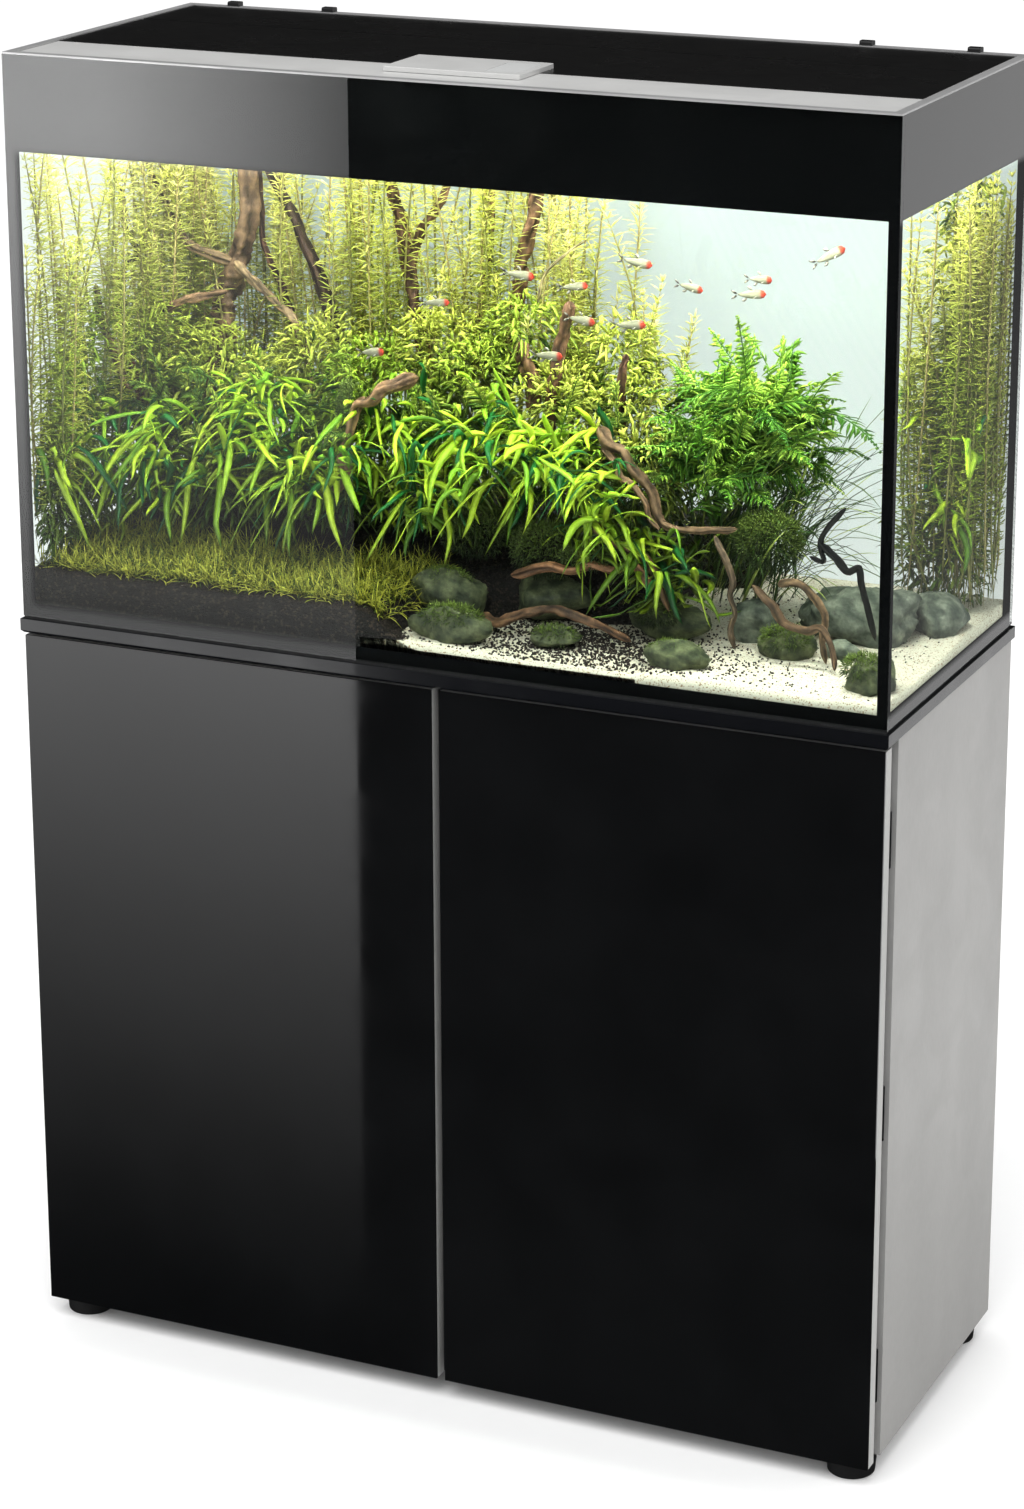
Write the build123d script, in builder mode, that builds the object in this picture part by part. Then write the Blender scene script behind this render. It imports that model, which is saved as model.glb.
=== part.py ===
"""Rimless aquarium with a flap cover, standing on a two-door cabinet.

Millimetres, +Z up, +X to the viewer's right, front facing -Y. The origin is on
the floor under the centre of the object.
"""

import os

from build123d import *

# Tank glass
TANK_WIDTH = 1000.0
TANK_DEPTH = 410.0
TANK_HEIGHT = 618.0
GLASS = 8.0
BOTTOM_GLASS = 10.0
SEAM = 0.4
PRINT = 0.3
WINDOW_SIDE_BORDER = 13.0
WINDOW_BOTTOM_BORDER = 14.0
WINDOW_TOP_BAND = 104.0
SIDE_WINDOW_FRONT_BORDER = 2.0
SIDE_WINDOW_BACK_BORDER = 20.0
SEAM_BEAD = 5.0
SEAM_START_FRONT = 882.0
SEAM_START_BACK = 940.0
SEAM_TOP_DROP = 59.0

# Cabinet
FOOT_HEIGHT = 22.0
FOOT_RADIUS = 27.5
FOOT_X = 468.0
FOOT_Y = 168.0
BOARD = 16.0
FOAM = 3.0
TOP_BOARD_OVERHANG = 3.0
TOP_BOARD_CHAMFER = 3.0
CARCASS_HEIGHT = 803.0
STILE_WIDTH = 60.0
RAIL_HEIGHT = 60.0
BACK_PANEL = 3.0
BACK_INSET = 16.0
BACK_PANEL_TOP = 675.0
SHELF_Z = 430.0
SHELF_FRONT_Y = -150.0
SHELF_BACK_Y = 172.0
BRACKET_STARTS_Y = (-130.0, 110.0)

# Doors
DOOR_HEIGHT = 800.0
DOOR_SHEET = 3.0
DOOR_GAP = 2.0
DOOR_CENTRE_GAP = 10.0
DOOR_SIDE_INSET = 1.0
BUMPER_HEIGHTS = (60.0, 740.0)
BUMPER_RADIUS = 4.0
BUMPER_CLEARANCE = 0.2

# Door hinges
HINGE_HEIGHT = 60.0
HINGE_CENTRES = (122.0, 422.0, 722.0)
KNUCKLE_RADIUS = 3.5
HINGE_PIN_RADIUS = 1.6
RUNNING_GAP = 0.05
LEAF = 1.5
LEAF_ROOT = 4.0
LEAF_EDGE_INSET = 1.0
DOOR_LEAF_WIDTH = 36.0
KNUCKLE_GAP = 0.3

# Push latches
LATCH_X = 19.0
LATCH_Z = 780.0
LATCH_RADIUS = 5.0
LATCH_LENGTH = 50.0
PLUNGER_RADIUS = 3.0
PLUNGER_PROUD = 1.9

# Cover
RAIL_WALL = 2.0
RAIL_LEDGE = 10.0
RAIL_DROP = 7.0
LIGHT_BAR_DEPTH = 100.0
LID = 6.0
LID_HINGE_Y = 75.0
LID_PIN_RADIUS = 1.4
LID_KNUCKLE_COUNT = 15
LID_KNUCKLE_SPAN = 972.0
HANDLE_WIDTH = 154.0
HANDLE_DEPTH = 86.0
HANDLE_FRONT_Y = -156.0
HANDLE = 5.0
TUBE_RADIUS = 13.0
TUBE_LENGTH = 880.0
CLIP_CENTRES = (-440.0, -320.0, 320.0, 440.0)

# Ground in the tank
FIT_GAP = 0.6
SOIL_FRONT_TOP = 876.0
SOIL_BACK_TOP = 936.0
SAND_TOP = 874.0
SAND_FRONT_X = -20.0
SAND_BACK_X = 170.0
SAND_STEP_Y = -60.0

# Stones on the sand: centre (x, y), half axes (x, y), height
STONES = (
    ((20, -168), (30, 20), 24),
    ((112, -150), (34, 22), 34),
    ((228, -150), (32, 22), 26),
    ((322, -158), (24, 18), 20),
    ((398, -20), (62, 36), 66),
    ((452, -150), (26, 30), 44),
    ((456, 70), (26, 30), 40),
)

# Driftwood: start, end, radius at the start, radius at the end
BRANCHES = (
    ((-398, 35, 925), (-338, 35, 1360), 13, 9),
    ((-215, 58, 930), (-318, 58, 1360), 12, 8),
    ((-128, 46, 928), (-172, 46, 1380), 12, 7),
    ((-40, 46, 928), (22, 46, 1380), 10, 6),
    ((66, -100, 900), (206, -104, 918), 11, 7),
    ((300, -96, 890), (430, -96, 938), 8, 5),
)

# Planting: depth spans (y), mounds as centre (x, y), half axes (x, y), base, height
PLANT_MARGIN = 6.0
STEM_Y = (78.0, 188.0)
FERN_Y = (-80.0, 18.0)
FERN_BUSH = ((278, 10), (100, 52), 952, 250)
GRASS_CLUMP = ((262, 118), (84, 40), 876, 250)
CORNER_X = (352.0, 486.0)
CORNER_Y = (112.0, 188.0)
CORNER_Z = (876.0, 1356.0)
CARPET_Y = (-188.0, -125.0)
CARPET_BLADE = 22.0
CARPET_END_X = -30.0
CARPET_GAP = 0.5

# Heights and planes that follow from the driving dimensions
HALF_WIDTH = TANK_WIDTH / 2
HALF_DEPTH = TANK_DEPTH / 2
CARCASS_TOP = FOOT_HEIGHT + CARCASS_HEIGHT
TANK_Z = CARCASS_TOP + BOARD + FOAM
GLASS_TOP = TANK_Z + TANK_HEIGHT
FLOOR_Z = TANK_Z + BOTTOM_GLASS
INNER_X = HALF_WIDTH - GLASS
INNER_Y = HALF_DEPTH - GLASS
DOOR_FRONT_Y = -HALF_DEPTH
DOOR_BACK_Y = DOOR_FRONT_Y + DOOR_SHEET + BOARD
FRAME_FRONT_Y = DOOR_BACK_Y + DOOR_GAP
CARCASS_FRONT_Y = FRAME_FRONT_Y + BOARD
PANEL_INNER_X = HALF_WIDTH - BOARD
FRAME_OUTER_X = HALF_WIDTH - BOARD / 2
HINGE_AXIS_X = FRAME_OUTER_X + KNUCKLE_RADIUS + 0.7
HINGE_AXIS_Y = DOOR_BACK_Y + KNUCKLE_RADIUS + 0.5
LEDGE_Z = GLASS_TOP - RAIL_DROP
LID_BOTTOM = LEDGE_Z + RAIL_WALL
LID_TOP = LID_BOTTOM + LID
RAIL_X = INNER_X - 0.5
RAIL_Y = INNER_Y - 0.5
COVER_X = RAIL_X - RAIL_WALL - 0.5
COVER_Y = RAIL_Y - RAIL_WALL - 0.5
BED_X = INNER_X - FIT_GAP
BED_Y = INNER_Y - FIT_GAP
PLANT_X = INNER_X - PLANT_MARGIN

# Outlines (x, z) of the two tall plant groups
STEM_OUTLINE = (
    (-PLANT_X, 942),
    (150, 942),
    (150, 1160),
    (100, 1255),
    (10, 1345),
    (-80, 1390),
    (-PLANT_X, 1390),
)
FERN_OUTLINE = (
    (-PLANT_X, 914),
    (40, 914),
    (165, 985),
    (120, 1090),
    (-60, 1130),
    (-PLANT_X, 1105),
)


def keep(piece, name):
    """Labels a finished piece and writes it as its own file."""
    piece.part.label = name
    export_step(piece.part, f"parts/{name}.step")


def slab(x, y, z, mode=Mode.ADD):
    """Adds or cuts a box between (low, high) spans in X, Y and Z."""
    with BuildSketch(Plane.XY.offset(z[0])) as outline:
        with Locations(((x[0] + x[1]) / 2, (y[0] + y[1]) / 2)):
            Rectangle(x[1] - x[0], y[1] - y[0])
    extrude(outline.sketch, amount=z[1] - z[0], mode=mode)


def rod(plane, radius, length, mode=Mode.ADD):
    """Adds or cuts a round bar that starts on a plane and runs along its normal."""
    with BuildSketch(plane) as outline:
        Circle(radius)
    extrude(outline.sketch, amount=length, mode=mode)


def taper_rod(start, end, start_radius, end_radius):
    """Adds a round bar that narrows from one point to another."""
    run = Vector(*end) - Vector(*start)
    plane = Plane(origin=start, z_dir=run)
    with BuildSketch(plane) as foot:
        Circle(start_radius)
    with BuildSketch(plane.offset(run.length)) as tip:
        Circle(end_radius)
    loft([foot.sketch.face(), tip.sketch.face()])


def mound(centre, half_axes, base_z, height):
    """Adds a domed lump: ellipses that shrink as they rise."""
    faces = []
    for share, size in ((0.0, 0.8), (0.35, 1.0), (0.75, 0.78), (1.0, 0.35)):
        with BuildSketch(Plane.XY.offset(base_z + share * height)) as ring:
            with Locations(centre):
                Ellipse(half_axes[0] * size, half_axes[1] * size)
        faces.append(ring.sketch.face())
    loft(faces)


def profile_prism(points, y):
    """Adds a prism whose outline is given as (x, z) points, between two depths."""
    with BuildSketch(Plane.XZ.offset(-y[0])) as outline:
        with BuildLine():
            Polyline(*points, close=True)
        make_face()
    extrude(outline.sketch, amount=y[0] - y[1])


def spans(side, low, high):
    """Turns a span on the right-hand side into the same span on either side."""
    return (side * low, side * high) if side > 0 else (side * high, side * low)


def make_panel(name, x, y, z):
    """A plain rectangular panel."""
    with BuildPart() as panel:
        slab(x, y, z)
    keep(panel, name)


# Cabinet carcass


def make_carcass():
    """Side, base and back panels, divider and rear rail of the cabinet."""
    full_height = (FOOT_HEIGHT, CARCASS_TOP)
    back_y = HALF_DEPTH - BACK_INSET
    for side, label in ((-1, "left"), (1, "right")):
        make_panel(
            f"side_panel_{label}",
            spans(side, PANEL_INNER_X, HALF_WIDTH),
            (CARCASS_FRONT_Y, HALF_DEPTH),
            full_height,
        )
    inner = (-PANEL_INNER_X, PANEL_INNER_X)
    base_z = (FOOT_HEIGHT, FOOT_HEIGHT + BOARD)
    make_panel("base_panel", inner, (CARCASS_FRONT_Y, back_y), base_z)
    make_panel("back_panel", inner, (back_y, back_y + BACK_PANEL), (FOOT_HEIGHT, BACK_PANEL_TOP))
    rail_z = (CARCASS_TOP - RAIL_HEIGHT, CARCASS_TOP)
    make_panel("rear_top_rail", inner, (back_y - BOARD, back_y), rail_z)
    with BuildPart() as divider:
        slab((-BOARD / 2, BOARD / 2), (CARCASS_FRONT_Y, back_y), (base_z[1], CARCASS_TOP))
        slab((-BOARD, BOARD), (back_y - BOARD, back_y + BOARD), rail_z, Mode.SUBTRACT)
    keep(divider, "centre_divider")


def make_top_board():
    """The board that carries the tank, with its lower edge chamfered."""
    half_x = HALF_WIDTH + TOP_BOARD_OVERHANG
    half_y = HALF_DEPTH + TOP_BOARD_OVERHANG
    with BuildPart() as board:
        slab((-half_x, half_x), (-half_y, half_y), (CARCASS_TOP, CARCASS_TOP + BOARD))
        lower_edges = board.faces().sort_by(Axis.Z)[0].edges()
        chamfer(lower_edges, TOP_BOARD_CHAMFER)
    keep(board, "top_board")


def make_face_frame():
    """Stiles and rails that the doors close on."""
    y = (FRAME_FRONT_Y, CARCASS_FRONT_Y)
    full_height = (FOOT_HEIGHT, CARCASS_TOP)
    inner_x = FRAME_OUTER_X - STILE_WIDTH
    for side, label in ((-1, "left"), (1, "right")):
        make_panel(f"frame_stile_{label}", spans(side, inner_x, FRAME_OUTER_X), y, full_height)
    half_stile = STILE_WIDTH / 2
    with BuildPart() as centre_stile:
        slab((-half_stile, half_stile), y, full_height)
        for side in (-1, 1):
            rod(latch_plane(side), LATCH_RADIUS, BOARD, Mode.SUBTRACT)
    keep(centre_stile, "frame_stile_centre")
    for name, z in (
        ("frame_rail_top", (CARCASS_TOP - RAIL_HEIGHT, CARCASS_TOP)),
        ("frame_rail_bottom", (FOOT_HEIGHT, FOOT_HEIGHT + RAIL_HEIGHT)),
    ):
        with BuildPart() as rail:
            for side in (-1, 1):
                slab(spans(side, half_stile, inner_x), y, z)
        keep(rail, name)


def make_shelf():
    """A shelf in the right-hand bay and the four brackets it lies on."""
    x = (BOARD / 2, PANEL_INNER_X)
    make_panel("shelf_right", (x[0] + 0.5, x[1] - 0.5), (SHELF_FRONT_Y, SHELF_BACK_Y), (SHELF_Z, SHELF_Z + BOARD))
    bracket_reach = 12
    bracket_length = 30
    bracket_height = 10
    with BuildPart() as brackets:
        for x_span in ((x[0], x[0] + bracket_reach), (x[1] - bracket_reach, x[1])):
            for y_low in BRACKET_STARTS_Y:
                slab(x_span, (y_low, y_low + bracket_length), (SHELF_Z - bracket_height, SHELF_Z))
    keep(brackets, "shelf_brackets")


def make_feet():
    """Four round feet that taper a little towards the floor."""
    taper = 2.0
    bottom_round = 1.5
    with BuildPart() as feet:
        for x in (-FOOT_X, FOOT_X):
            for y in (-FOOT_Y, FOOT_Y):
                taper_rod((x, y, 0), (x, y, FOOT_HEIGHT), FOOT_RADIUS - taper, FOOT_RADIUS)
        fillet(feet.edges().group_by(Axis.Z)[0], bottom_round)
    keep(feet, "feet")


# Doors with their hinges and latches


def door_x(side):
    """X span of one door."""
    return spans(side, DOOR_CENTRE_GAP / 2, HALF_WIDTH - DOOR_SIDE_INSET)


def leaf_x(side):
    """X span of the hinge leaf let into one door."""
    outer = HALF_WIDTH - DOOR_SIDE_INSET - LEAF_EDGE_INSET
    return spans(side, outer - DOOR_LEAF_WIDTH, outer)


def hinge_thirds(centre):
    """Z spans of a hinge's lower, middle and upper knuckle."""
    third = HINGE_HEIGHT / 3
    low = centre - HINGE_HEIGHT / 2
    half_gap = KNUCKLE_GAP / 2
    return (
        (low, low + third - half_gap),
        (low + third + half_gap, low + 2 * third - half_gap),
        (low + 2 * third + half_gap, low + HINGE_HEIGHT),
    )


def knuckle(side, z):
    """Adds one solid hinge knuckle on a door's axis."""
    start = Plane(origin=(side * HINGE_AXIS_X, HINGE_AXIS_Y, z[0]), z_dir=(0, 0, 1))
    rod(start, KNUCKLE_RADIUS, z[1] - z[0])


def bore_knuckles(side, radius):
    """Cuts the pin bore through every knuckle of a door's hinges."""
    for centre in HINGE_CENTRES:
        low = centre - HINGE_HEIGHT / 2
        start = Plane(origin=(side * HINGE_AXIS_X, HINGE_AXIS_Y, low), z_dir=(0, 0, 1))
        rod(start, radius, HINGE_HEIGHT, Mode.SUBTRACT)


def make_hinges():
    """Fixed leaves and pins of all door hinges, and each door's own leaves."""
    with BuildPart() as fixed_leaves:
        for side in (-1, 1):
            for centre in HINGE_CENTRES:
                low, _, high = hinge_thirds(centre)
                leaf = spans(side, FRAME_OUTER_X, FRAME_OUTER_X + LEAF)
                root_y = HINGE_AXIS_Y + LEAF_ROOT
                slab(leaf, (root_y, CARCASS_FRONT_Y - 0.5), (low[0], high[1]))
                for z in (low, high):
                    knuckle(side, z)
                    slab(leaf, (HINGE_AXIS_Y, root_y), z)
            bore_knuckles(side, HINGE_PIN_RADIUS)
    keep(fixed_leaves, "hinge_leaves_fixed")
    with BuildPart() as pins:
        for side in (-1, 1):
            for centre in HINGE_CENTRES:
                low = centre - HINGE_HEIGHT / 2
                start = Plane(origin=(side * HINGE_AXIS_X, HINGE_AXIS_Y, low), z_dir=(0, 0, 1))
                rod(start, HINGE_PIN_RADIUS, HINGE_HEIGHT)
    keep(pins, "hinge_pins")
    web = 1.5
    for side, label in ((-1, "left"), (1, "right")):
        with BuildPart() as door_leaves:
            for centre in HINGE_CENTRES:
                low, middle, high = hinge_thirds(centre)
                knuckle(side, middle)
                web_x = spans(side, HINGE_AXIS_X - web, HINGE_AXIS_X + web)
                slab(web_x, (DOOR_BACK_Y, HINGE_AXIS_Y), middle)
                slab(leaf_x(side), (DOOR_BACK_Y - LEAF, DOOR_BACK_Y), (low[0], high[1]))
            bore_knuckles(side, HINGE_PIN_RADIUS + RUNNING_GAP)
        keep(door_leaves, f"hinge_leaves_{label}")


def make_doors():
    """Each door: a board let in for its hinges, a gloss front and two bumpers."""
    z = (FOOT_HEIGHT, FOOT_HEIGHT + DOOR_HEIGHT)
    sheet_back = DOOR_FRONT_Y + DOOR_SHEET
    for side, label in ((-1, "left"), (1, "right")):
        make_panel(f"door_front_{label}", door_x(side), (DOOR_FRONT_Y, sheet_back), z)
        with BuildPart() as board:
            slab(door_x(side), (sheet_back, DOOR_BACK_Y), z)
            for centre in HINGE_CENTRES:
                pocket_z = (centre - HINGE_HEIGHT / 2, centre + HINGE_HEIGHT / 2)
                slab(leaf_x(side), (DOOR_BACK_Y - LEAF, DOOR_BACK_Y), pocket_z, Mode.SUBTRACT)
        keep(board, f"door_board_{label}")
        with BuildPart() as bumpers:
            for bumper_z in BUMPER_HEIGHTS:
                start = Plane(origin=(side * LATCH_X, DOOR_BACK_Y, bumper_z), z_dir=(0, 1, 0))
                rod(start, BUMPER_RADIUS, DOOR_GAP - BUMPER_CLEARANCE)
        keep(bumpers, f"door_bumpers_{label}")


def latch_plane(side):
    """Plane at the front of one push latch, facing into the cabinet."""
    return Plane(origin=(side * LATCH_X, FRAME_FRONT_Y, LATCH_Z), z_dir=(0, 1, 0))


def make_latches():
    """Latch bodies let into the centre stile, and the plungers that slide in them."""
    bore_depth = 26.0
    travel_room = 4.0
    with BuildPart() as bodies:
        for side in (-1, 1):
            rod(latch_plane(side), LATCH_RADIUS, LATCH_LENGTH)
            bore = latch_plane(side)
            rod(bore, PLUNGER_RADIUS + RUNNING_GAP, bore_depth, Mode.SUBTRACT)
    keep(bodies, "latch_bodies")
    for side, label in ((-1, "left"), (1, "right")):
        tip = latch_plane(side).offset(-PLUNGER_PROUD)
        with BuildPart() as plunger:
            rod(tip, PLUNGER_RADIUS, PLUNGER_PROUD + bore_depth - travel_room)
            fillet(plunger.edges().group_by(Axis.Y)[0], 1.2)
        keep(plunger, f"latch_plunger_{label}")


# Tank


def make_glass():
    """The five panes, the cross braces, the foam mat and the background film."""
    height = (TANK_Z, GLASS_TOP)
    full = (-HALF_WIDTH, HALF_WIDTH)
    make_panel("front_glass", full, (-HALF_DEPTH, -INNER_Y), height)
    make_panel("back_glass", full, (INNER_Y, HALF_DEPTH), height)
    side_y = (-INNER_Y + SEAM, INNER_Y - SEAM)
    for side, label in ((-1, "left"), (1, "right")):
        make_panel(f"side_glass_{label}", spans(side, INNER_X, HALF_WIDTH), side_y, height)
    floor_x = (-INNER_X + 0.5, INNER_X - 0.5)
    make_panel("bottom_glass", floor_x, (-INNER_Y + 0.6, INNER_Y - 0.6), (TANK_Z, FLOOR_Z))
    brace_depth = 50.0
    brace_z = (GLASS_TOP - 58, GLASS_TOP - 58 + GLASS)
    with BuildPart() as braces:
        for side in (-1, 1):
            slab(floor_x, spans(side, INNER_Y - brace_depth, INNER_Y - SEAM), brace_z)
    keep(braces, "glass_braces")
    mat_x = HALF_WIDTH - 1
    mat_y = HALF_DEPTH - 1
    make_panel("foam_mat", (-mat_x, mat_x), (-mat_y, mat_y), (TANK_Z - FOAM, TANK_Z))
    film_z = (TANK_Z + 2, GLASS_TOP - 22)
    make_panel("background_film", (-mat_x, mat_x), (HALF_DEPTH, HALF_DEPTH + 0.5), film_z)


def make_borders():
    """Black borders printed on the inner faces of the front and side panes."""
    height = (TANK_Z, GLASS_TOP)
    window_top = GLASS_TOP - WINDOW_TOP_BAND
    front_y = (-INNER_Y, -INNER_Y + PRINT)
    window_x = HALF_WIDTH - WINDOW_SIDE_BORDER
    with BuildPart() as front_border:
        slab((-HALF_WIDTH, HALF_WIDTH), front_y, height)
        window_z = (TANK_Z + WINDOW_BOTTOM_BORDER, window_top)
        slab((-window_x, window_x), front_y, window_z, Mode.SUBTRACT)
    keep(front_border, "front_border_print")
    side_y = (-INNER_Y + SEAM, INNER_Y - SEAM)
    window_y = (side_y[0] + SIDE_WINDOW_FRONT_BORDER, side_y[1] - SIDE_WINDOW_BACK_BORDER)
    with BuildPart() as side_borders:
        for side in (-1, 1):
            skin = spans(side, INNER_X - PRINT, INNER_X)
            slab(skin, side_y, height)
            window_z = (TANK_Z + WINDOW_BOTTOM_BORDER + 2, window_top)
            slab(skin, window_y, window_z, Mode.SUBTRACT)
    keep(side_borders, "side_border_prints")


def make_seams():
    """Silicone beads in the four upright corners of the tank."""
    corner_x = INNER_X - FIT_GAP
    corner_y = INNER_Y - FIT_GAP
    top = GLASS_TOP - SEAM_TOP_DROP
    with BuildPart() as seams:
        for side in (-1, 1):
            for depth, low in ((-1, SEAM_START_FRONT), (1, SEAM_START_BACK)):
                with BuildSketch(Plane.XY.offset(low)) as wedge:
                    with BuildLine():
                        Polyline(
                            (side * corner_x, depth * corner_y),
                            (side * (corner_x - SEAM_BEAD), depth * corner_y),
                            (side * corner_x, depth * (corner_y - SEAM_BEAD)),
                            close=True,
                        )
                    make_face()
                extrude(wedge.sketch, amount=top - low)
    keep(seams, "silicone_seams")


# Cover with light bar and lid


def make_cover_rails():
    """Angle rails over the glass edges, with a ledge that carries the cover."""
    cap = (GLASS_TOP, GLASS_TOP + RAIL_WALL)
    wall_x = RAIL_X - RAIL_WALL
    wall_y = RAIL_Y - RAIL_WALL
    ledge = (LEDGE_Z, LEDGE_Z + RAIL_WALL)
    with BuildPart() as side_rails:
        for side in (-1, 1):
            slab(spans(side, wall_x, HALF_WIDTH), (-HALF_DEPTH, HALF_DEPTH), cap)
            slab(spans(side, wall_x, RAIL_X), (-RAIL_Y, RAIL_Y), (LEDGE_Z, GLASS_TOP))
            slab(spans(side, wall_x - RAIL_LEDGE, wall_x), (-RAIL_Y, RAIL_Y), ledge)
    keep(side_rails, "cover_rails_side")
    end_x = wall_x - RAIL_LEDGE
    with BuildPart() as cross_rails:
        for depth in (-1, 1):
            slab((-wall_x, wall_x), spans(depth, wall_y, HALF_DEPTH), cap)
            slab((-end_x, end_x), spans(depth, wall_y, RAIL_Y), (LEDGE_Z, GLASS_TOP))
            slab((-end_x, end_x), spans(depth, wall_y - RAIL_LEDGE, wall_y), ledge)
    keep(cross_rails, "cover_rails_cross")


def make_light_bar():
    """Aluminium channel across the front, with two lamp tubes in end sockets."""
    skin = 2.0
    plate_top = LID_TOP - 0.5
    front_y = -COVER_Y
    back_y = -HALF_DEPTH + LIGHT_BAR_DEPTH - 1
    skirt_drop = 19.0
    end_x = RAIL_X - RAIL_WALL - RAIL_LEDGE - 1.5
    with BuildPart() as light_bar:
        slab((-COVER_X, COVER_X), (front_y, back_y), (plate_top - skin, plate_top))
        for y in ((front_y, front_y + skin), (back_y - skin, back_y)):
            slab((-COVER_X, COVER_X), y, (LID_BOTTOM, plate_top - skin))
        for y in ((front_y + RAIL_LEDGE + 0.5, front_y + RAIL_LEDGE + 2.5), (back_y - skin, back_y)):
            slab((-end_x, end_x), y, (LID_BOTTOM - skirt_drop, plate_top - skin))
    keep(light_bar, "light_bar")
    tube_z = LID_TOP - 23
    tube_rows = (-165.0, -127.0)
    with BuildPart() as tubes:
        for y in tube_rows:
            start = Plane(origin=(-TUBE_LENGTH / 2, y, tube_z), z_dir=(1, 0, 0))
            rod(start, TUBE_RADIUS, TUBE_LENGTH)
    keep(tubes, "led_tubes")
    socket_length = 22
    with BuildPart() as sockets:
        for side in (-1, 1):
            for y in tube_rows:
                x = spans(side, TUBE_LENGTH / 2, TUBE_LENGTH / 2 + socket_length)
                z = (tube_z - TUBE_RADIUS - 3, plate_top - skin)
                slab(x, (y - TUBE_RADIUS - 2, y + TUBE_RADIUS + 2), z)
        fillet(sockets.edges().filter_by(Axis.Z), 3)
    keep(sockets, "tube_sockets")


def lid_knuckles(wanted, edge_y):
    """Adds every second hinge knuckle, joined by a web to a panel edge at edge_y."""
    axis_z = LID_BOTTOM + LID / 2
    pitch = LID_KNUCKLE_SPAN / LID_KNUCKLE_COUNT
    web = LID / 4
    for index in range(wanted, LID_KNUCKLE_COUNT, 2):
        low = -LID_KNUCKLE_SPAN / 2 + index * pitch + KNUCKLE_GAP / 2
        start = Plane(origin=(low, LID_HINGE_Y, axis_z), z_dir=(1, 0, 0))
        rod(start, LID / 2, pitch - KNUCKLE_GAP)
        y = (min(LID_HINGE_Y, edge_y), max(LID_HINGE_Y, edge_y))
        slab((low, low + pitch - KNUCKLE_GAP), y, (axis_z - web, axis_z + web))


def lid_bore(radius, mode=Mode.SUBTRACT):
    """Cuts the lid's hinge bore, or adds its pin."""
    start = Plane(
        origin=(-LID_KNUCKLE_SPAN / 2, LID_HINGE_Y, LID_BOTTOM + LID / 2), z_dir=(1, 0, 0)
    )
    rod(start, radius, LID_KNUCKLE_SPAN, mode)


def make_lid():
    """Fixed rear cover, the flap hinged to it, the long hinge pin and the handle."""
    gap = LID / 2 + KNUCKLE_GAP
    panel_z = (LID_BOTTOM, LID_TOP)
    with BuildPart() as rear_cover:
        slab((-COVER_X, COVER_X), (LID_HINGE_Y + gap, COVER_Y), panel_z)
        lid_knuckles(0, LID_HINGE_Y + gap)
        lid_bore(LID_PIN_RADIUS)
    keep(rear_cover, "rear_cover")
    with BuildPart() as flap:
        front_y = -HALF_DEPTH + LIGHT_BAR_DEPTH
        slab((-COVER_X, COVER_X), (front_y, LID_HINGE_Y - gap), panel_z)
        lid_knuckles(1, LID_HINGE_Y - gap)
        lid_bore(LID_PIN_RADIUS + RUNNING_GAP)
    keep(flap, "lid_flap")
    with BuildPart() as pin:
        lid_bore(LID_PIN_RADIUS, Mode.ADD)
    keep(pin, "lid_hinge_pin")


def make_handle():
    """Lift plate on the flap that reaches over the light bar, with an inset pad."""
    margin = 12.0
    recess = 1.0
    corner = 2.0
    edge = 0.5
    groove = 0.4
    pad_x = (32.0, 70.0)
    pad_y = (HANDLE_FRONT_Y + margin, HANDLE_FRONT_Y + HANDLE_DEPTH - margin)
    pad_z = (LID_TOP + HANDLE - recess, LID_TOP + HANDLE)
    with BuildPart() as handle:
        y = (HANDLE_FRONT_Y, HANDLE_FRONT_Y + HANDLE_DEPTH)
        slab((-HANDLE_WIDTH / 2, HANDLE_WIDTH / 2), y, (LID_TOP, LID_TOP + HANDLE))
        fillet(handle.edges().filter_by(Axis.Z), corner)
        chamfer(handle.faces().sort_by(Axis.Z)[-1].edges(), edge)
        slab(pad_x, pad_y, pad_z, Mode.SUBTRACT)
    keep(handle, "lid_handle")
    with BuildPart() as pad:
        slab(
            (pad_x[0] + groove, pad_x[1] - groove),
            (pad_y[0] + groove, pad_y[1] - groove),
            (pad_z[0], pad_z[1] - 0.1),
        )
    keep(pad, "handle_pad")


def make_rear_clips():
    """Four spring clips that hook over the rear rail and grip the back pane."""
    half_width = 7.0
    reach_in = 9.0
    reach_out = 2.5
    height = 5.0
    drop = 18.0
    clearance = 0.1
    rounding = 2.0
    top = GLASS_TOP + RAIL_WALL
    back = HALF_DEPTH + reach_out
    with BuildPart() as clips:
        for x in CLIP_CENTRES:
            span = (x - half_width, x + half_width)
            slab(span, (HALF_DEPTH - reach_in, back), (top, top + height))
            slab(span, (HALF_DEPTH + clearance, back), (top - drop, top))
        fillet(clips.edges().filter_by(Axis.X).group_by(Axis.Z)[-1], rounding)
    keep(clips, "rear_clips")


# Contents of the tank


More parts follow.
